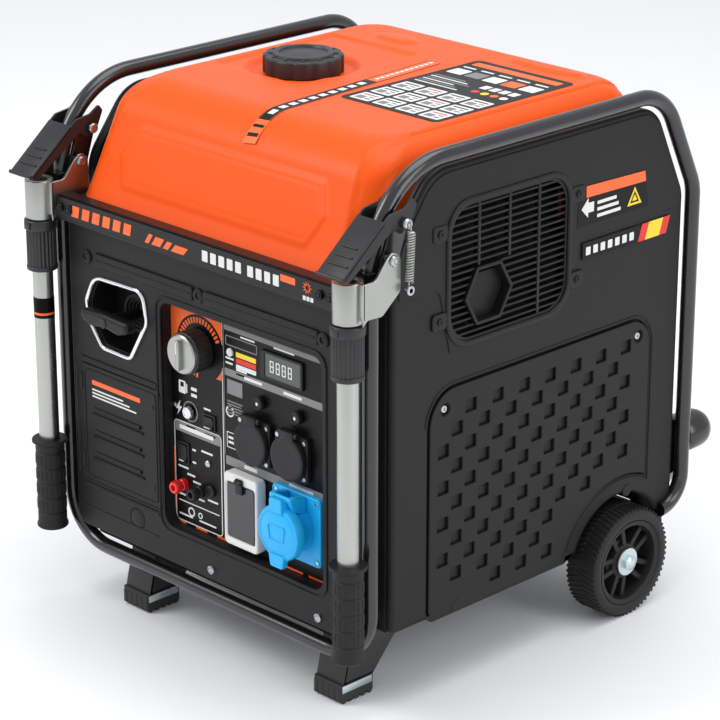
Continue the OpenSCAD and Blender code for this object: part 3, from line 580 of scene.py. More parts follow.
# ridges above and below, door surround and drain plug
for x0, x1 in ((-188, -11), (7, 198)):
    shell.plate("y", -293.6, -289, [rect(x0, 449, x1, 466, 3)], 2.2, res=4)
    shell.tube([(x0 + 5, -293.4, 457.5), (x1 - 5, -293.4, 457.5)], 1.2, res=3)
for x in (-204, -2, 205):
    shell.lathe([(9, 0), (8.6, 2.6), (7, 3.6), (4, 3.6), (3.4, 2), (0, 2)], (x, -289.6, 457.5), FRONT, 36)
for z in (324.5, 158.5):
    shell.tube([(-218, -290, z), (-82, -290, z)], 3.2, res=5)
    for x in (-218, -82):
        shell.lathe([(0, 3.4), (2, 3), (3.2, 1.6), (3.4, 0)], (x, -289.9, z), FRONT, 24)
for x in (-231, -76):
    shell.tube([(x, -289.6, 172), (x, -289.6, 312)], 1.5, res=4)
for x0, x1 in ((-232, -86), (216, 232)):
    shell.tube([(x0, -289.8, 128), (x1, -289.8, 128)], 1.4, res=4)
shell.lathe([(13, -3), (12.6, 1.5), (9, 2.6), (4, 2.8), (0, 2.8)], (-124, -288, 140), FRONT, 48)
shell.done("front_shell", hides="front_shell")

cup = Shape("trim_plastic")
cup.plate("y", -287, -247, [rounded(inset(RECOIL, 0.5)), rounded(inset(RECOIL, 6))], 1.2)
cup.plate("y", -250, -246, [rounded(inset(RECOIL, 3)), circle(-148, 392, 3)], 0.5)
for k in range(4):
    cup.plate("y", -262 + 3 * k, -259.8 + 3 * k, [circle(-148, 392, 24 - 3 * k),
        circle(-148, 392, 20 - 3 * k)], 0.4)
cup.done("recoil_cup", hides="recoil_cup")
trim = Shape("chrome_trim")
trim.tube([(a, -291.2, b) for a, b in rounded(inset(RECOIL, 1), 12)], 2.9, cyclic=True, res=6)
trim.done("recoil_trim", hides="recoil_trim")

grip = Shape("trim_plastic", "pad_rubber")
grip.plate("y", -315, -298, [rounded([(-191, 388, 7), (-172, 382, 8), (-148, 386, 12), (-124, 382, 8),
    (-105, 388, 7), (-105, 401, 6), (-148, 403, 12), (-191, 401, 6)])], 5, res=4)
grip.lathe([(8.5, 0), (7.6, 10), (6.4, 20), (5.8, 42), (2.4, 44), (2.4, 120), (0, 120)],
    (-148, -300, 392), BACK, 32)
grip.rod((-148, -316.2, 392), BACK, 3, 6, paint="pad_rubber")
grip.done("recoil_handle", "recoil_grip", "recoil_handle")

door = Shape("casing_plastic", "trim_plastic")
door.plate("y", -290.4, -287, [rect(-222, 166, -78, 318, 4)], 1)
for z in (204, 233, 262):
    door.tube([(-199, -290.4, z), (-113, -290.4, z)], 2.6, res=5)
    door.box((-203, -292.2, z - 9), (-108, -290, z - 5.4), 1)
door.tube([(a, -290.6, b) for a, b in rect(-216, 172, -84, 312, 6)], 0.9, cyclic=True, res=3)
for z in (180, 284):
    door.rod((-222, -290, z), UP, 20, 2.5, seg=24)
for z in (190, 294):
    door.lathe([(0, 1.2), (3, 1.2), (4, 0)], (-92, -290.3, z), FRONT, 30, "trim_plastic")
door.done("service_door", "service_door", "service_door")

door_marks = Shape("ink_orange", "ink_white")
door_marks.plate("y", -290.9, -290.5, [rect(-202, 294, -112, 300, 1)], 0.05)
for k in range(3):
    door_marks.plate("y", -290.9, -290.5, [rect(-202, 278 + 4.4 * k, -120 - 12 * k, 280 + 4.4 * k, 0.3)],
        0.05, "ink_white")
door_marks.done("door_marks", "service_door", slot="panel_print")

# ---- side shells, panels, grilles

WHEEL = (157, 70)


def wheel_arch(steps):
    """The cut-out over a wheel, from the shell's lower edge round to its rear edge."""
    return arc(WHEEL, 84, 90 + math.degrees(math.acos(28 / 84)), 90 - 61.6, steps)


def side_loop():
    pts = rounded([(70, 98, 0), (-240, 98, 8), (-240, 560, 60), (-178, 640, 56), (202, 640, 46),
        (257, 524, 40), (257, 122, 14), (231, 110, 0)], 12)
    return wheel_arch(30) + pts[::-1][:-1]


def grille_loop(g):
    return rect(-152 - g, 428 - g, 46 + g, 592 + g, 34 + g * 0.6, 10)


def panel_loop(d):
    r = 110 + d
    a0 = math.degrees(math.asin((30 + d) / r))
    a1 = math.degrees(math.acos((45 - d) / r))
    edge = arc(WHEEL, r, 180 - a0, a1, 26)
    rest = rounded([(202 - d, WHEEL[1] + r * math.sin(math.radians(a1)), 0),
        (202 - d, 377 - d, 34 - d * 0.6), (-180 + d, 377 - d, 42 - d * 0.6), (-180 + d, 100 + d, 10),
        (20, 100 + d, 0)], 10)
    return edge + rest[1:]


def side_shell():
    s = Shape("casing_plastic")
    s.plate("x", 250, 262, [side_loop(), grille_loop(0), panel_loop(-0.6)], 5.5, res=4)
    low_rim = wheel_arch(24) + [(231, 110), (250, 118), (254, 130), (254, 500), (248, 500), (240, 176),
        (72, 176), (60, 106), (-234, 106), (-234, 500), (-239, 500), (-239, 99), (70, 98)]
    s.plate("x", 219, 252, [low_rim], 0.6)
    s.plate("x", 246, 252, [side_loop(), rounded([(-234, 500, 0), (-234, 556, 54), (-176, 634, 50),
        (198, 634, 40), (252, 524, 34), (252, 500, 0)])], 0.6)
    s.plate("x", 255, 257.5, [panel_loop(-3)], 0.3)
    ring = panel_loop(-6)
    s.tube([(261.6, a, b) for a, b in ring if b > 104], 1.8, res=4)
    # the raised upper field above the crease
    s.plate("x", 260, 263.6, [rounded([(-232, 500, 4), (-168, 500, 14), (-150, 420, 0), (40, 420, 0),
        (66, 506, 14), (250, 506, 4), (251, 528, 30), (200, 634, 42), (-177, 634, 52), (-232, 556, 54)],
        10), grille_loop(3)], 1.6, res=3)
    return s


for side, flip in SIDES:
    side_shell().done(f"{side}_shell", hides=f"{side}_shell", mirror=flip)


def access_panel():
    s = Shape("casing_plastic", "trim_plastic", "bolt_steel")
    pockets = []
    pitch = 22.6
    for i in range(17):
        for j in range(12):
            if (i + j) % 2:
                continue
            y, z = -158 + pitch * i, 122 + pitch * j
            if math.hypot(y - WHEEL[0], z - WHEEL[1]) < 136 or y > 176 or z > 356:
                continue
            if y < -136 and z > 330 or y > 160 and z > 330 or (y < -100 and z < 130):
                continue
            if math.hypot(y - 170, z - 157) < 36 or math.hypot(y + 156, z - 354) < 26:
                continue
            pockets.append(rect(y - 9, z - 8, y + 9, z + 8, 1.2, 3))
    holes = [circle(y, z, 8) for y, z in ((-156, 354), (181, 356), (170, 157))]
    # the finger notch at the panel's foot is not cut: this half-disc stands in for it
    painted_notch_shade = arc((-128, 99), 13, 180, 0, 12)
    s.plate("x", 258.6, 263, [panel_loop(0)] + pockets + holes, 1.1, res=3)
    s.plate("x", 255.6, 258.8, [panel_loop(2)], 0.3)
    for y, z in ((-156, 354), (181, 356), (170, 157)):
        s.lathe([(8, 2.6), (6.4, 3.4), (5.8, 1)], (258.6, y, z), RIGHT, 32)
        s.lathe([(0, 1.6), (1.8, 1.6), (2, 2.6), (4, 2.6), (5, 1.6), (5.2, 0)], (258.8, y, z), RIGHT, 32,
            "bolt_steel")
    # painted shade: a darker flat half-disc on the face stands for the notch's recess
    s.plate("x", 262.6, 263.4, [painted_notch_shade], 0.2, "trim_plastic")
    return s


both(access_panel, "access_panel", "access_panel")


EXHAUST = (-88, 478)


def exhaust_loop(r):
    """The six-sided outline of the exhaust collar."""
    return arc(EXHAUST, r, 0, 300, 5)


def slat_half(z):
    """Half the length of the grille's opening at height z."""
    up = abs(z - 510)
    if up <= 48:
        return 99
    d = min(34, up - 48)
    return 99 - 34 + math.sqrt(max(0, 34 * 34 - d * d))


def grille(collar):
    s = Shape("trim_plastic", "socket_black")
    s.plate("x", 256, 266, [grille_loop(6), grille_loop(-1)], 2.4, res=4)
    s.plate("x", 255, 263, [grille_loop(1), grille_loop(-4)], 0.8)
    for y, z in ((-168, 565), (-168, 462), (62, 562), (62, 458)):
        tab = rounded([(y - 12, z - 10, 5), (y + 12, z - 10, 5), (y + 12, z + 10, 5),
            (y - 12, z + 10, 5)])
        s.plate("x", 259, 265.2, [tab], 1.4)
        s.lathe([(0, 1.4), (2, 1.4), (2.2, 2.2), (4.4, 1.8), (5, 0)], (264.8, y, z), RIGHT, 28)
    for k in range(1, 20):
        z = 428 + k * 164 / 20
        half = slat_half(z) - 1
        spans = [(-53 - half, -53 + half)]
        if collar and abs(z - 478) < 35:
            cut = 40 - abs(z - 478) * 0.577 + 0.5
            spans = [(-53 - half, -88 - cut), (-88 + cut, -53 + half)]
        for y0, y1 in spans:
            if y1 - y0 > 3:
                s.plate("y", y0, y1, [rounded([(254, z - 3.4, 0.8), (256, z - 3.6, 0.6), (262.6, z, 0.8),
                    (262.6, z + 2.6, 1), (260, z + 2.6, 0.8)], 3)], 0.2)
    for y in (-103.5, -53, -3.5):
        z0 = 514 if collar and abs(y + 88) < 36 else 429
        s.box((256, y - 2.2, z0), (263.2, y + 2.2, 591), 1)
    s.plate("x", 240, 242, [grille_loop(6)] + ([exhaust_loop(40)] if collar else []), 0.2, "socket_black")
    return s


grille(True).done("exhaust_grille", hides="exhaust_grille")
grille(False).done("intake_grille", hides="intake_grille", mirror=True)

collar = Shape("trim_plastic", "muffler_steel")
collar.plate("x", 206, 265.4, [exhaust_loop(40), exhaust_loop(35)], 1.5, res=3)
collar.plate("x", 202, 206, [exhaust_loop(39), circle(-88, 478, 18)], 0.5)
collar.rod((203, -88, 478), RIGHT, 22, 15, paint="muffler_steel", bore=12.5)
collar.done("exhaust_collar", hides="exhaust_collar")

side_marks = Shape("ink_orange", "ink_white", "ink_yellow", "ink_grey", "ink_red", "panel_print")
side_ink = inked(side_marks, "x", 264.0, 264.3)
ground = inked(side_marks, "x", 263.65, 264.0)
ground([[(62, 520), (190, 520), (180, 566), (62, 569)]], "panel_print")
side_ink([[(76, 554), (183, 552), (181, 565), (76, 568)]])
for k in range(3):
    side_ink([rect(96, 526 + 8 * k, 138 - 4 * k, 530 + 8 * k, 0.5)], "ink_white")
side_ink([[(150, 527), (176, 527), (163, 549)]], "ink_yellow")
side_marks.plate("x", 264.3, 264.5, [[(155, 530), (171, 530), (163, 544)],
    [(158, 532), (168, 532), (163, 540)]], 0.02, "panel_print")
side_marks.plate("x", 263.65, 264.1, [[(68, 541), (80, 529), (80, 535), (90, 535), (90, 547), (80, 547),
    (80, 553)]], 0.05, "ink_white")
ground([rect(72, 478, 176, 499, 1)], "panel_print")
for k in range(7):
    side_marks.plate("x", 264.0, 264.2, [rect(78 + 13 * k, 483, 86 + 13 * k, 493, 1)], 0.05, "ink_white")
for k, paint in enumerate(("ink_red", "ink_yellow", "ink_yellow", "ink_red")):
    y = 172 + 13 * k
    side_marks.plate("x", 263.65, 264.1, [[(y, 478), (y + 13, 478), (y + 20, 499), (y + 7, 499)]], 0.05,
        paint)
side_marks.done("side_marks", slot="panel_print")

rear = Shape("casing_plastic")
slots = [rect(-150, 200 + 18 * i, 150, 208 + 18 * i, 3) for i in range(9)]
rear.plate("y", 252, 261, [rect(-238, 100, 238, 522, 14)] + slots, 2.5, res=3)
rear.plate("y", 244, 246, [rect(-160, 190, 160, 360, 4)], 0.4)
for x in (-200, 200):
    rear.tube([(x, 261.4, 140), (x, 261.4, 480)], 2.4, res=4)
rear.tube([(a, 261.2, b) for a, b in rect(-172, 182, 172, 372, 14)], 2.4, cyclic=True, res=4)
rear.done("rear_shell", hides="rear_shell")

# ---- tank cover

TOP = 664  # the flat top of the tank cover
CAP = (-104, -26)  # the filler cap's axis


def profile(points, step=20):
    """A rounded open profile (a, z), returned as a function of z."""
    path = [(p.x, p.z) for p in fillet_path([((a, 0, z), r) for a, z, r in points], step)]

    def at(z):
        for (a0, z0), (a1, z1) in zip(path, path[1:]):
            if z0 - 1e-9 <= z <= z1 + 1e-9:
                return a0 + (a1 - a0) * ((z - z0) / (z1 - z0) if z1 > z0 else 0)
        return path[-1][0]
    return at


front_at = profile([(-284, 526, 0), (-272, 549, 90), (-240, 619, 60), (-222, 664, 66), (-120, 664, 0)])
rear_at = profile([(256, 526, 0), (208, 644, 0), (199, 664, 27), (100, 664, 0)])
side_at = profile([(236, 526, 0), (226, 664, 36), (100, 664, 0)])


def smooth(t):
    """Eases from 0 to 1."""
    t = max(0.0, min(1.0, t))
    return t * t * (3 - 2 * t)


def hexagon_depth(x, z):
    """Distance inside the long six-sided panel on the cover's front face, negative outside."""
    pts = ((-156, 549), (156, 549), (174, 584), (156, 619), (-156, 619), (-174, 584))
    inside = 1e9
    for i, (ax, az) in enumerate(pts):
        bx, bz = pts[(i + 1) % 6]
        length = math.hypot(bx - ax, bz - az)
        inside = min(inside, ((bx - ax) * (z - az) - (bz - az) * (x - ax)) / length)
    return inside


def cover_relief(x, y, z, normal):
    """How far the skin stands out or in at a point, in millimetres."""
    out = 0.0
    if normal.y < -0.4 and z > 530:
        d = hexagon_depth(x, z)
        out += 2.2 * smooth((d + 1) / 3.5)
        if 4 < d < 9:
            out -= 0.8 * math.sin(math.pi * (d - 4) / 5)
    seam = abs(abs(x) - 213 + 12 * smooth((z - 560) / 90))
    if y < 222:
        out -= 2.4 * max(0.0, 1 - (seam / 2.4) ** 2)
        out -= 1.6 * smooth((abs(x) - 213 + 12 * smooth((z - 560) / 90)) / 3)
    if z > 640:
        cap = math.hypot(x - CAP[0], y - CAP[1])
        bay = min(smooth((-38 - x) / 5), smooth((y + 96) / 6), smooth((108 - y) / 6),
            smooth((x + 190) / 6))
        out -= 2.6 * bay + 6.4 * smooth((72 - cap) / 12)
        for xc, yc, rx, ry in ((-112, 142, 34, 15), (118, 168, 60, 12)):
            out += 3.0 * smooth((1.15 - math.hypot((x - xc) / rx, (y - yc) / ry)) / 0.4)
    if abs(normal.x) > 0.7:
        for yc in (-60, 185):
            r = math.hypot((y - yc) / 26, (z - 560) / 16)
            out -= 5 * smooth((1.1 - r) / 0.4)
    return out


def cover():
    levels = [526 + 78 * k / 27 for k in range(28)]
    levels += [TOP - 60 * (1 - math.cos(math.radians(88 - 88 * k / 26))) for k in range(27)]
    side_count, front_count, corner_count = 150, 120, 14
    bm = bmesh.new()
    rings = []

    def ring(hx, y0, y1, r, z):
        pts = []
        corners = ((hx - r, y0 + r, -90), (hx - r, y1 - r, 0), (-hx + r, y1 - r, 90),
            (-hx + r, y0 + r, 180))
        counts = (side_count, front_count, side_count, front_count)
        for k, (cx, cy, a0) in enumerate(corners):
            turn = [(cx + r * math.cos(math.radians(a0 + 90 * i / corner_count)),
                cy + r * math.sin(math.radians(a0 + 90 * i / corner_count))) for i in range(corner_count + 1)]
            pts += turn
            nx, ny, na = corners[(k + 1) % 4]
            start, end = turn[-1], (nx + r * math.cos(math.radians(na)),
                ny + r * math.sin(math.radians(na)))
            for i in range(1, counts[k]):
                t = i / counts[k]
                pts.append((start[0] + (end[0] - start[0]) * t, start[1] + (end[1] - start[1]) * t))
        return [bm.verts.new((a, b, z)) for a, b in pts]

    for z in levels:
        rings.append(ring(side_at(z), front_at(z), rear_at(z), 36, z))
    hx, y0, y1 = side_at(TOP), front_at(TOP), rear_at(TOP)
    inner = min(hx, (y1 - y0) / 2) - 2
    for k in range(1, 40):
        d = inner * k / 39
        rings.append(ring(hx - d, y0 + d, y1 - d, max(0.5, 36 - d), TOP))
    for one, two in zip(rings, rings[1:]):
        n = len(one)
        for k in range(n):
            bm.faces.new((one[k], one[(k + 1) % n], two[(k + 1) % n], two[k]))
    bm.faces.new(rings[-1])
    bm.normal_update()
    moves = [(v, v.normal * cover_relief(v.co.x, v.co.y, v.co.z, v.normal)) for v in bm.verts]
    for v, d in moves:
        v.co += d
    s = Shape("cover_plastic", "trim_plastic")
    s.take_bm(bm)
    s.plate("z", 521, 527, [rounded([(-234, -285, 26), (234, -285, 26), (234, 254, 26), (-234, 254, 26)]),
        rounded([(-222, -272, 22), (222, -272, 22), (222, 244, 22), (-222, 244, 22)])], 1.5,
        "trim_plastic")
    return s.done("tank_cover", hides="tank_cover", angle=50)


cover()

cover_marks = Shape("panel_print", "ink_white", "ink_orange", "ink_grey", "ink_red", "ink_yellow")
label = inked(cover_marks, "z", TOP + 0.5, TOP + 0.7)
detail = inked(cover_marks, "z", TOP + 0.7, TOP + 0.85, 0.02)
cover_marks.plate("z", TOP + 0.1, TOP + 0.5, [rect(33, -100, 190, 138, 8)], 0.1)
for i in range(4):
    for j in range(3):
        x, y = 42 + 37 * i, -92 + 34 * j
        label([rect(x, y, x + 31, y + 28, 2)], "ink_white")
        detail([rect(x + 4, y + 4, x + 16, y + 15, 1), rect(x + 19, y + 5, x + 27, y + 9, 0.5),
            rect(x + 19, y + 13, x + 27, y + 16, 0.5)], "ink_grey")
        detail([rect(x + 4, y + 20, x + 27, y + 23, 0.5)],
            "ink_red" if (i + j) % 3 == 0 else "panel_print")
for i in range(6):
    label([rect(42, 16 + 7 * i, 110 - 9 * (i % 3), 19 + 7 * i, 0.5)],
        "ink_grey" if i % 2 else "ink_white")
for i, paint in enumerate(("ink_red", "ink_yellow", "ink_orange", "ink_white")):
    label([circle(130 + 15 * i, 28, 5.4, 24)], paint)
    label([rect(122 + 15 * i, 42, 133 + 15 * i, 56, 1)], "ink_white")
for i in range(5):
    label([rect(42 + 29 * i, 70, 66 + 29 * i, 92, 2)],
        ("ink_white", "ink_grey", "ink_white", "ink_orange", "ink_white")[i])
    label([rect(42 + 29 * i, 100, 62 + 29 * i, 104, 0.5)], "ink_white")
label([rect(42, 114, 180, 128, 3)], "ink_orange")
cover_marks.done("cover_label", slot="panel_print")

ribbon = Shape("panel_print", "ink_white", "ink_orange")
band = place((14, -75, 0), ("Z", 94.3))


def strip(a0, a1, b0, b1, level, paint="panel_print"):
    """A band of the ribbon, cut every 8 mm so that it can bend."""
    count = max(1, round((a1 - a0) / 8))
    step = (a1 - a0) / count
    for k in range(count):
        a = a0 + step * k
        ribbon.plate("z", TOP + level, TOP + level + 0.2,
            [[(a, b0), (a + step + 0.05, b0), (a + step + 0.05, b1), (a, b1)]], 0.02, paint, matrix=band)


strip(-158, 168, -10, 10, 0.1, "ink_orange")
strip(-134, 168, -10, -8.8, 0.3)
strip(-134, 168, 8.8, 10, 0.3)
strip(-134, 52, -8, 8, 0.35)
strip(-153, -150, -8, 8, 0.35)
strip(-144, -141, -8, 8, 0.35)
for k in range(10):
    a = -124 + 17 * k
    strip(a, a + 10, -4.4, 4.4, 0.6, "ink_white")
for k in range(12):
    a = 60 + 9 * k
    strip(a, a + 6, -2, 2.4, 0.4, "ink_white")
# the ribbon follows the cover over its front edge
for v in ribbon.bm.verts:
    level = TOP
    while level > 600 and front_at(level) > v.co.y:
        level -= 0.25
    v.co.z += level - TOP
    v.co.y -= 0.09 * (TOP - level)
ribbon.done("cover_ribbon", slot="panel_print")

cap = Shape("cap_plastic")
lobed = wavy(*CAP, 144, lambda a: 49.4 - 3 * max(0.0, math.cos(12 * a)) ** 2)
cap.plate("z", 655, 677.6, [lobed], 3, res=4)
cap.lathe([(38, 0), (37, 2.6), (34, 3.2), (30, 2.6), (29, 0.8), (20, 0.6), (12, 1.4), (0, 1.8)],
    (*CAP, 677.2), UP, 72)
cap.rod((*CAP, 647), UP, 12, 25)
for k in range(12):
    cap.box((33, -1.6, 0), (43, 1.6, 2), 0.7, matrix=place((*CAP, 676.8), ("Z", 30 * k + 15)))
cap.done("fuel_cap", "fuel_cap", "fuel_cap")

# ---- control panel

PY = -272  # the front face of the control panel
panel = Shape("panel_print", "ink_white", "ink_grey", "ink_orange", "socket_black", "terminal_red",
    "bolt_steel")
panel.plate("y", PY, PY + 4, [rect(-80, 142, 208, 440, 4), rect(-16.4, 285.4, 0.4, 301.6, 1),
    rect(-62.4, 230.4, -47.6, 253.6, 1)], 0.5)


def mark(loops, paint="ink_white", level=0):
    panel.plate("y", PY - 0.45 - 0.25 * level, PY - 0.05 - 0.25 * level, loops, 0.02, paint)


mark([rounded([(-77, 352, 4), (16, 352, 4), (16, 428, 6), (-30, 430, 6), (-77, 430, 6)])], "ink_orange")
mark([circle(-22, 383, 41, 60)], "panel_print", 1)
teeth = []
for k in range(28):
    a = math.radians(28 + k * 8.6)
    teeth.append([(-22 + r * math.cos(a + w), 383 + r * math.sin(a + w)) for r,
        w in ((31, -0.045), (38, -0.045), (38, 0.045), (31, 0.045))])
mark(teeth, "ink_orange", 2)
mark([rect(-62, 318, -50, 334, 1.5), rect(-59, 326, -53, 332, 0.5)])
mark([rounded([(-49, 320, 1), (-47, 320, 1), (-47, 331, 1), (-49, 333, 1)])])
mark([rect(-40, 318, -30, 322, 0.5), rect(-40, 326, -30, 330, 0.5)])
mark([rounded([(-68, 296, 0), (-60, 308, 0), (-62, 300, 0), (-57, 300, 0), (-66, 288, 0),
    (-63, 296, 0)])])
mark([circle(-42, 298, 13, 40), circle(-42, 298, 11.4, 40)], "ink_grey")
for x, z, w in ((-50, 277, 16), (-18, 276, 20), (-18, 308, 12), (-66, 160, 24), (-30, 160, 30),
        (22, 383, 14), (22, 377, 12), (48, 414, 24), (104, 416, 34), (40, 372, 18), (40, 367, 22),
        (66, 316, 20)):
    mark([rect(x, z, x + w, z + 2.2, 0.3)])
mark([rect(-72, 152, 12, 282, 6), rect(-70.6, 153.4, 10.6, 280.6, 5)])
mark([rounded([(-71, 268, 0), (11, 268, 0), (11, 281, 5), (-71, 281, 5)])], "ink_grey")
mark([rect(-62, 272, -2, 277, 0.5)], "ink_white", 1)
mark([rect(-66, 178, 6, 179.4, 0.2)])
for x, z, w in ((-40, 249, 6), (-40, 233, 6), (-24, 252, 20), (-66, 222, 18), (-50, 215, 14),
        (-30, 188, 10), (-14, 192, 18), (-66, 186, 12), (-40, 208, 14)):
    mark([rect(x, z, x + w, z + 2.4, 0.3)])
mark([circle(-44, 168, 6, 24), circle(-44, 168, 4, 24)])
mark([circle(-28, 168, 4, 24), circle(-28, 168, 2.4, 24)])
mark([rect(15.4, 152, 16.6, 428, 0.3)])
mark([rounded([(-73, 166, 0), (-71.6, 166, 0), (-71.6, 246, 0), (-73, 246, 0)])], "ink_orange", 1)
for x0, x1 in ((-66, -54), (-36, -16), (2, 22), (96, 150), (160, 200)):
    mark([rect(x0, 149.4, x1, 152, 0.3)], "ink_orange", 1)
for z0, z1 in ((250, 261), (362, 371), (418, 428)):
    mark([rect(20, z0, 200, z1, 1.5)], "ink_grey")
mark([rect(18.4, 262, 19.4, 428, 0.2)], "ink_grey", 1)
mark([rect(52, 253.4, 74, 258, 0.5), rect(128, 253.4, 168, 258, 0.5)], "ink_white", 1)
mark([rect(22, 400, 76, 412, 2), rect(23.2, 401.2, 74.8, 410.8, 1.4)], "ink_grey")
mark([rect(40, 389, 74, 395, 0.6)], "ink_yellow")
mark([rect(40, 381.5, 74, 387.5, 0.6)], "ink_red")
mark([rect(40, 374.5, 74, 380, 0.6)], "ink_white")
mark([rect(24, 340, 50, 358, 0.6)], "ink_grey")
for k in range(5):
    mark([rect(24, 330 - 3.6 * k, 50 - 2 * (k % 2), 331.6 - 3.6 * k, 0.2)], "ink_grey")
for x in (62, 128):
    mark([rect(x - 8, 365, x + 22, 368.6, 0.4)], "ink_white", 1)
mark([circle(28, 318, 7, 26), circle(28, 318, 5, 26)])
mark([rect(22, 272, 44, 292, 0.4), rect(23, 273, 43, 291, 0.4)])
mark([rect(25, 284, 41, 287, 0.2), rect(25, 278, 38, 281, 0.2)], "ink_white", 1)
mark([rect(189, 318, 195, 330, 0.6)])
mark([rect(197, 319, 202, 321.4, 0.4)])
mark([rect(197, 325, 201, 327.4, 0.4)])
# small fittings on the panel: lamp, fuse, sensor light, screws and rocker frames
panel.lathe([(4.4, 0), (4.4, 2), (3.4, 3.2), (0, 4)], (-12, PY, 240), FRONT, 30, "bolt_steel")
panel.lathe([(7.6, 0), (7.6, 3), (6.6, 4), (4, 4), (3.8, 3), (0, 3)], (-8, PY, 206), FRONT, 36,
    "socket_black")
panel.lathe([(5, 0), (5, 1.6), (3.8, 2.8), (0, 3.6)], (30, PY, 392), FRONT, 30, "ink_white")
for x, z in ((-70, 300), (198, 270), (198, 340), (112, 270)):
    panel.lathe([(3.4, 0), (3.2, 1.2), (2, 1.8), (0, 1.8)], (x, PY, z), FRONT, 26, "bolt_steel")
for x0, z0, x1, z1 in ((-19, 283, 3, 304), (-65, 228, -45, 256)):
    panel.plate("y", PY - 2.2, PY, [rect(x0, z0, x1, z1, 2),
        rect(x0 + 2.6, z0 + 2.4, x1 - 2.6, z1 - 2.4, 1)], 0.7, "socket_black")
panel.done("control_panel", hides="control_panel")

screen = Shape("socket_black", "display", "ink_white")
screen.plate("y", PY - 3.6, PY, [rect(84, 377, 154, 411, 3), rect(92, 380, 150, 408, 1.5)], 1)
screen.plate("y", PY - 2.6, PY, [rect(91, 379, 151, 409, 1)], 0.3, "display")
for k in range(4):
    x = 100 + 10 * k
    screen.plate("y", PY - 2.85, PY - 2.6, [rect(x, 387, x + 6.4, 401, 0.6),
        rect(x + 1.4, 388.4, x + 5, 393.4, 0.3), rect(x + 1.4, 394.6, x + 5, 399.6, 0.3)], 0.02,
        "ink_white")
screen.done("display_module", hides="display_module", slot="display")

knob = Shape("cap_plastic", "nickel_steel", "ink_white")
fluted = wavy(-22, 383, 160, lambda a: 26 - 0.9 * max(0.0, math.cos(20 * a)))
knob.plate("y", PY - 26, PY - 2, [fluted], 1.5, res=3)
knob.lathe([(24, 0), (24, 4), (22.5, 5.6), (0, 6)], (-22, PY - 26, 383), FRONT, 72, "nickel_steel")
knob.box((-25, PY - 38, 364), (-19, PY - 30, 402), 2.6, "nickel_steel", 3)
knob.box((-22.9, PY - 38.6, 385), (-21.1, PY - 37, 400), 0.4, "ink_white")
knob.rod((-22, PY - 2, 383), BACK, 12, 5)
knob.done("dial_knob", "dial", "dial_knob")

for side, x in (("inner", 82), ("outer", 145)):
    b = Shape("socket_black", "ink_white")
    b.lathe([(8, 0), (8, 4.8), (7, 6), (5.6, 6.2), (5.2, 5.4), (0, 5.4)], (x, PY - 2, 344), FRONT, 44)
    b.lathe([(2, 5.5), (0, 5.6)], (x, PY - 2, 344), FRONT, 20, "ink_white")
    b.rod((x, PY - 2, 344), BACK, 12, 4.4)
    b.done(f"reset_button_{side}", f"reset_button_{side}", f"reset_button_{side}")

start = Shape("button_metal", "trim_plastic")
start.lathe([(7.5, 0), (7.5, 4), (6.8, 5), (5.6, 5), (5, 4.2), (0, 3.8)], (-42, PY - 2, 298), FRONT, 44)
start.rod((-42, PY - 2, 298), BACK, 12, 5)
start.done("start_button", "start_button", "start_button")


def rocker(name, x0, x1, z0, z1):
    """A rocker whose lower edge stands proud."""
    s = Shape("socket_black", "ink_white")
    mid = (z0 + z1) / 2
    face = [(PY - 1, z0), (PY - 5.4, z0 + 1.5), (PY - 3.6, (z0 + mid) / 2), (PY - 2.6, mid),
        (PY - 3, (z1 + mid) / 2), (PY - 4, z1), (PY - 1, z1)]
    s.plate("x", x0 + 0.3, x1 - 0.3, [face], 0.4)
    s.box((x0 + 3, PY - 5.7, z0 + 2), (x1 - 3, PY - 5, z0 + 3), 0.1, "ink_white")
    s.done(name, name, name)


rocker("mode_rocker", -16, 0, 286, 301)
rocker("dc_rocker", -62, -48, 231, 253)

for name, x, paint in (("red", -56, "terminal_red"), ("black", -25, "socket_black")):
    s = Shape(paint, "button_metal")
    s.lathe([(7.5, 0), (7.5, 6), (6.6, 6.8), (6.6, 9), (7.6, 9.8), (7.6, 17), (6.6, 18.6), (4.2, 18.6),
        (4, 14), (0, 14)], (x, PY, 201), FRONT, 40)
    for k in range(14):
        s.box((-0.7, -17, 7.2), (0.7, -10, 8.1), 0.3, matrix=place((x, PY, 201), ("Y", 360 * k / 14)),
            seg=1)
    s.done(f"terminal_{name}", hides="terminal_posts" if name == "red" else ())

sockets = Shape("socket_black", "bolt_steel")
for x in (75, 138):
    sockets.plate("y", PY - 7, PY, [rect(x - 27, 268, x + 27, 322, 4), circle(x, 295, 19.8)], 1.4, res=3)
    sockets.rod((x, PY - 6.8, 295), BACK, 40, 19.9, bore=18)
    sockets.rod((x, PY + 24, 295), BACK, 4, 18.2)
    for d in (-9.5, 9.5):
        sockets.rod((x + d, PY + 2, 295), BACK, 24, 2.4, paint="bolt_steel", seg=24)
    for dx, dz in ((-22, -22), (22, -22), (22, 22), (-22, 22)):
        sockets.lathe([(3, 0), (2.8, 1), (0, 1.4)], (x + dx, PY - 7, 295 + dz), FRONT, 20, "bolt_steel")
    for dx in (-12, 12):
        sockets.rod((x + dx - 3, PY - 10.5, 324), RIGHT, 6, 3.2, seg=20)
sockets.done("socket_bases", hides="socket_bases")

for side, x in (("inner", 75), ("outer", 138)):
    s = Shape("socket_black")
    s.lathe([(27.4, 0), (27.6, 4.6), (26.6, 6.6), (24, 7.4), (21.5, 7.2), (0, 7.6)], (x, PY - 7.5, 294),
        FRONT, 64)
    s.box((x - 11, PY - 14.6, 311), (x + 11, PY - 8, 328), 1.6)
    s.rod((x - 8.6, PY - 10.5, 324), RIGHT, 17.2, 3.4, seg=24)
    s.box((x - 6, PY - 15, 268), (x + 6, PY - 9, 272), 1.2)
    s.done(f"socket_lid_{side}", f"socket_lid_{side}", f"socket_lid_{side}")

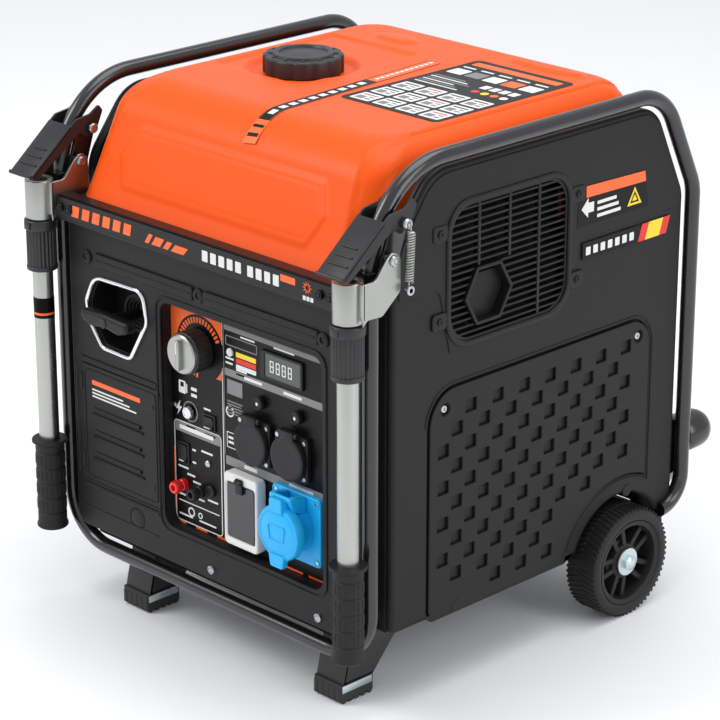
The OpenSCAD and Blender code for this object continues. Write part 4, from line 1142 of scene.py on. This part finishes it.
box = Shape("box_white", "socket_black", "ink_grey")
box.plate("y", -288, PY, [rect(32, 158, 89, 250, 6), rect(37, 168, 84, 238, 3)], 2.6, res=4)
box.plate("y", -283, -276, [rect(44, 176, 78, 230, 2)], 0.8, "ink_grey")
for x in (52.5, 61, 69.5):
    box.box((x - 3, -286.6, 196), (x + 3, -282, 210), 1, "socket_black")
box.done("breaker_box", hides="breaker_box")
window = Shape("smoked_window", "socket_black")
window.plate("y", -287.6, -284.6, [rect(37.5, 168.5, 83.5, 237.5, 3)], 1, res=3)
window.box((55, -291.2, 228), (67, -288.4, 247), 1.2, "socket_black")
window.rod((55.5, -291, 243), RIGHT, 11, 3, paint="socket_black", seg=24)
window.done("breaker_window", "breaker_window", "breaker_window")

blue = Shape("socket_blue", "bolt_steel")
blue.plate("y", -280, PY, [rect(107, 170, 187, 255, 5), circle(147, 212, 28.5)], 1.6, res=3)
blue.rod((147, -299, 212), BACK, 68, 28.9, bore=25.5, seg=64)
blue.rod((147, -246, 212), BACK, 12, 25.6)
for k in range(5):
    a = math.radians(72 * k + 18)
    blue.rod((147 + 15 * math.cos(a), -290, 212 + 15 * math.sin(a)), BACK, 48, 2.5, paint="bolt_steel",
        seg=20)
for dx, dz in ((-34, -36), (34, -36), (34, 37), (-34, 37)):
    blue.lathe([(4.6, 0), (4.4, 0.6), (3.4, 0.6), (3.2, -0.8), (0, -0.8)], (147 + dx, -280.2, 212 + dz),
        FRONT, 26)
    blue.lathe([(2.4, -0.2), (0, 0.4)], (147 + dx, -280.2, 212 + dz), FRONT, 20, "bolt_steel")
for x in (129, 158):
    blue.plate("x", x, x + 7, [rounded([(-281, 232, 0), (-281, 254, 0), (-300, 258, 3), (-306, 255, 3),
        (-300, 240, 3)])], 1)
blue.done("heavy_socket_base", hides="heavy_socket_base")

lid = Shape("socket_blue")
lid.lathe([(30.4, 0), (34, 0.4), (34, 8), (32.6, 11), (29, 12.6), (27.4, 11.8), (26, 12.6), (0, 13.8)],
    (147, -298, 212), FRONT, 72)
lid.plate("y", -313.4, -299, [rounded([(136.6, 238, 2), (157.4, 238, 2), (157.4, 256, 3),
    (136.6, 256, 3)])], 2, res=3)
lid.plate("y", -312.4, -303, [rounded([(137, 170, 3), (157, 170, 3), (160, 186, 2), (134, 186, 2)])], 1.6,
    res=3)
lid.tube([(a, -311.6, b) for a, b in rounded([(133, 222, 3), (161, 222, 3), (158, 203, 3),
    (136, 203, 3)])], 0.9, cyclic=True, res=3)
lid.rod((130, -303, 255), RIGHT, 34, 3)
lid.done("heavy_socket_lid", "heavy_lid", "heavy_socket_lid")

# ---- handles

HX, HY = CAGE_X, -311  # the axis of a handle tube when it is folded down


def bracket():
    s = Shape("nickel_steel", "bolt_steel")
    outline = rounded([(-311, 498, 0), (-304, 504, 4), (-282, 503, 8), (-254, 526, 8), (-254, 566, 8),
        (-265, 574, 8), (-276, 566, 4), (-292, 546, 8), (-311, 546, 0)])
    for x in (HX - 24, HX + 21):
        s.plate("x", x, x + 3, [outline, circle(-265, 563, 4.05, 24)], 0.9, res=3)
    s.rod((HX, HY, 498), UP, 48, 17.4, 1.2, bore=12.9, seg=64)
    for x0 in (HX - 24, HX + 14):
        s.box((x0, HY - 1, 505), (x0 + 10, HY + 3, 546), 0.8)
    s.rod((HX + 24, -248, 527), RIGHT, 10, 3.5, paint="bolt_steel")
    s.rod((HX + 32.4, -248, 527), RIGHT, 1.6, 5.6, paint="bolt_steel")
    return s


both(bracket, "handle_bracket", "handle_bracket", body="handle_{}")


def collar_part():
    s = Shape("cap_plastic")
    ribs = wavy(HX, HY, 192, lambda a: 17.6 + 0.7 * max(-0.6, math.cos(24 * a)))
    s.plate("z", 437, 486, [ribs, circle(HX, HY, 12.6, 48)], 1)
    s.rod((HX, HY, 433), UP, 6, 19, 1.6, bore=12.6, seg=64)
    s.rod((HX, HY, 484), UP, 13, 20, 2.2, bore=12.6, seg=64)
    s.box((HX - 5, HY - 22, 486), (HX + 5, HY - 17, 496), 1.4)
    return s


both(collar_part, "collar", "collar", body="collar_{}")


def handle_tube():
    s = Shape("tube_alloy")
    s.rod((HX, HY, 98), UP, 446, 12.5, 1, bore=11, seg=64)
    return s


both(handle_tube, "handle_tube", "handle_tube", body="tube_{}")


def grip_part():
    s = Shape("grip_rubber")
    r = 18
    profile_points = [(12.5, 118), (r + 3.4, 118), (r + 4, 117), (r + 4, 114.5), (r + 2, 113), (r, 111)]
    for k in range(5):
        z = 102 - 20 * k
        profile_points += [(r, z + 1.6), (r - 1, z + 0.6), (r - 1, z - 0.6), (r, z - 1.6)]
    profile_points += [(r, 8), (r + 1.5, 5), (r + 1.5, 2), (r, 0.4), (0, 0)]
    s.lathe(profile_points, (HX, HY, 94), UP, 64)
    for k in range(18):
        for z in (26, 46, 66, 86):
            s.box((r - 0.5, -1.3, z), (r + 0.6, 1.3, z + 12), 0.4,
                matrix=place((HX, HY, 94), ("Z", 20 * k)), seg=1)
    return s


both(grip_part, "grip", "grip", body="tube_{}")


def latch():
    s = Shape("lever_plastic")
    cheek = rounded([(-338, 556, 3), (-268, 614, 6), (-246, 617, 4), (-232, 626, 3), (-226, 618, 3),
        (-236, 596, 6), (-250, 588, 6), (-262, 596, 4), (-331, 550, 4)])
    for x in (HX - 20.6, HX + 17.6):
        s.plate("x", x, x + 3, [cheek, circle(-245, 600, 4.05, 24)], 1)
    s.plate("x", HX - 20.6, HX + 20.6, [rounded([(-339, 556, 1), (-276, 608.4, 1), (-274, 605, 1),
        (-336, 553, 1)])], 1.2, res=3)
    for k in range(3):
        d = k * 12.0
        s.tube([(HX - 15 + 2 * k, -326 + d * 0.77, 567.2 + d * 0.64),
            (HX + 15 - 2 * k, -326 + d * 0.77, 567.2 + d * 0.64)], 1.3, res=3)
    s.tube([(HX - 20, -338, 556.4), (HX + 20, -338, 556.4)], 2.4, res=5)
    return s


both(latch, "latch", "latch", body="latch_{}")


def spring_coil():
    s = Shape("nickel_steel")
    top, low = Vector((HX + 30, -245, 600)), Vector((HX + 30, -248, 529))
    steps, turns = 420, 19
    path = []
    for k in range(steps + 1):
        t = k / steps
        a = 2 * math.pi * turns * t
        c = low.lerp(top, 0.1 + 0.8 * t)
        path.append(c + Vector((4.6 * math.cos(a), 4.6 * math.sin(a), 0)))
    s.tube(path, 1.05, res=2)
    s.tube([top + Vector((-4, 0, 2)), top + Vector((0, 0, 2)), low.lerp(top, 0.9)], 1.05, res=3)
    s.tube([low, low.lerp(top, 0.1)], 1.05, res=3)
    return s


for side, flip in SIDES:
    spring = spring_coil().done(f"spring_{side}", hides="latch_springs" if not flip else (), mirror=flip)
    spring.parent = None
    sx = -1 if flip else 1
    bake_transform(spring)

tube_mark = Shape("panel_print", "ink_orange")
# the band is laid twice, because one layer shades differently
for _ in range(2):
    tube_mark.lathe([(12.6, 0), (12.75, 0), (12.75, 26), (12.6, 26)], (-HX, HY, 372), UP, 48)
tube_mark.lathe([(12.8, 0), (12.9, 0), (12.9, 3), (12.8, 3)], (-HX, HY, 376), UP, 48, "ink_orange")
tube_mark.done("tube_mark", "tube_left", slot="panel_print")

# ---- carried-over nodes and the hidden engine set

slots_of = {s["node"]: s["material_slot"] for s in frame["record"]["subparts"]}
for name, obj in frame["nodes"].items():
    if not obj.hide_render:
        obj.data.materials.clear()
        obj.data.materials.append(M[slots_of[name]])

# ---- floor, light, camera

floor_mat = material("floor", (0.95, 0.95, 0.953), 0.7, grain=40, bump=0.02, mottle=0.01)
bpy.ops.mesh.primitive_plane_add(size=60, location=(0, 0, 0))
floor = bpy.context.object
floor.name = "floor"
floor.data.materials.append(floor_mat)

world = bpy.data.worlds.new("studio")
scene.world = world
world.use_nodes = True
sky = world.node_tree
sky.nodes["Background"].inputs["Color"].default_value = (0.95, 0.97, 1, 1)
sky.nodes["Background"].inputs["Strength"].default_value = 0.8


def lamp(name, place_at, target, size, power, shape="RECTANGLE", size_y=None):
    data = bpy.data.lights.new(name, "AREA")
    data.shape = shape
    data.size = size
    data.size_y = size_y or size
    data.energy = power
    obj = bpy.data.objects.new(name, data)
    scene.collection.objects.link(obj)
    obj.location = place_at
    obj.rotation_euler = (Vector(target) - Vector(place_at)).to_track_quat("-Z", "Y").to_euler()


lamp("key", (-1.6, -2.2, 2.6), (0, 0, 0.35), 1.6, 46)
lamp("top", (0.3, 0.4, 3.0), (0, 0, 0.4), 2.2, 38)
lamp("side", (3.2, 0.6, 1.6), (0.2, 0, 0.35), 1.4, 26, size_y=2.2)

cam_data = bpy.data.cameras.new("camera")
cam_data.sensor_width = 36
cam_data.lens = 141.9
cam = bpy.data.objects.new("camera", cam_data)
scene.collection.objects.link(cam)
cam.location = (2.3227, -2.3197, 1.5315)
cam.rotation_euler = (math.radians(69.48), 0, math.radians(45.44))
scene.camera = cam
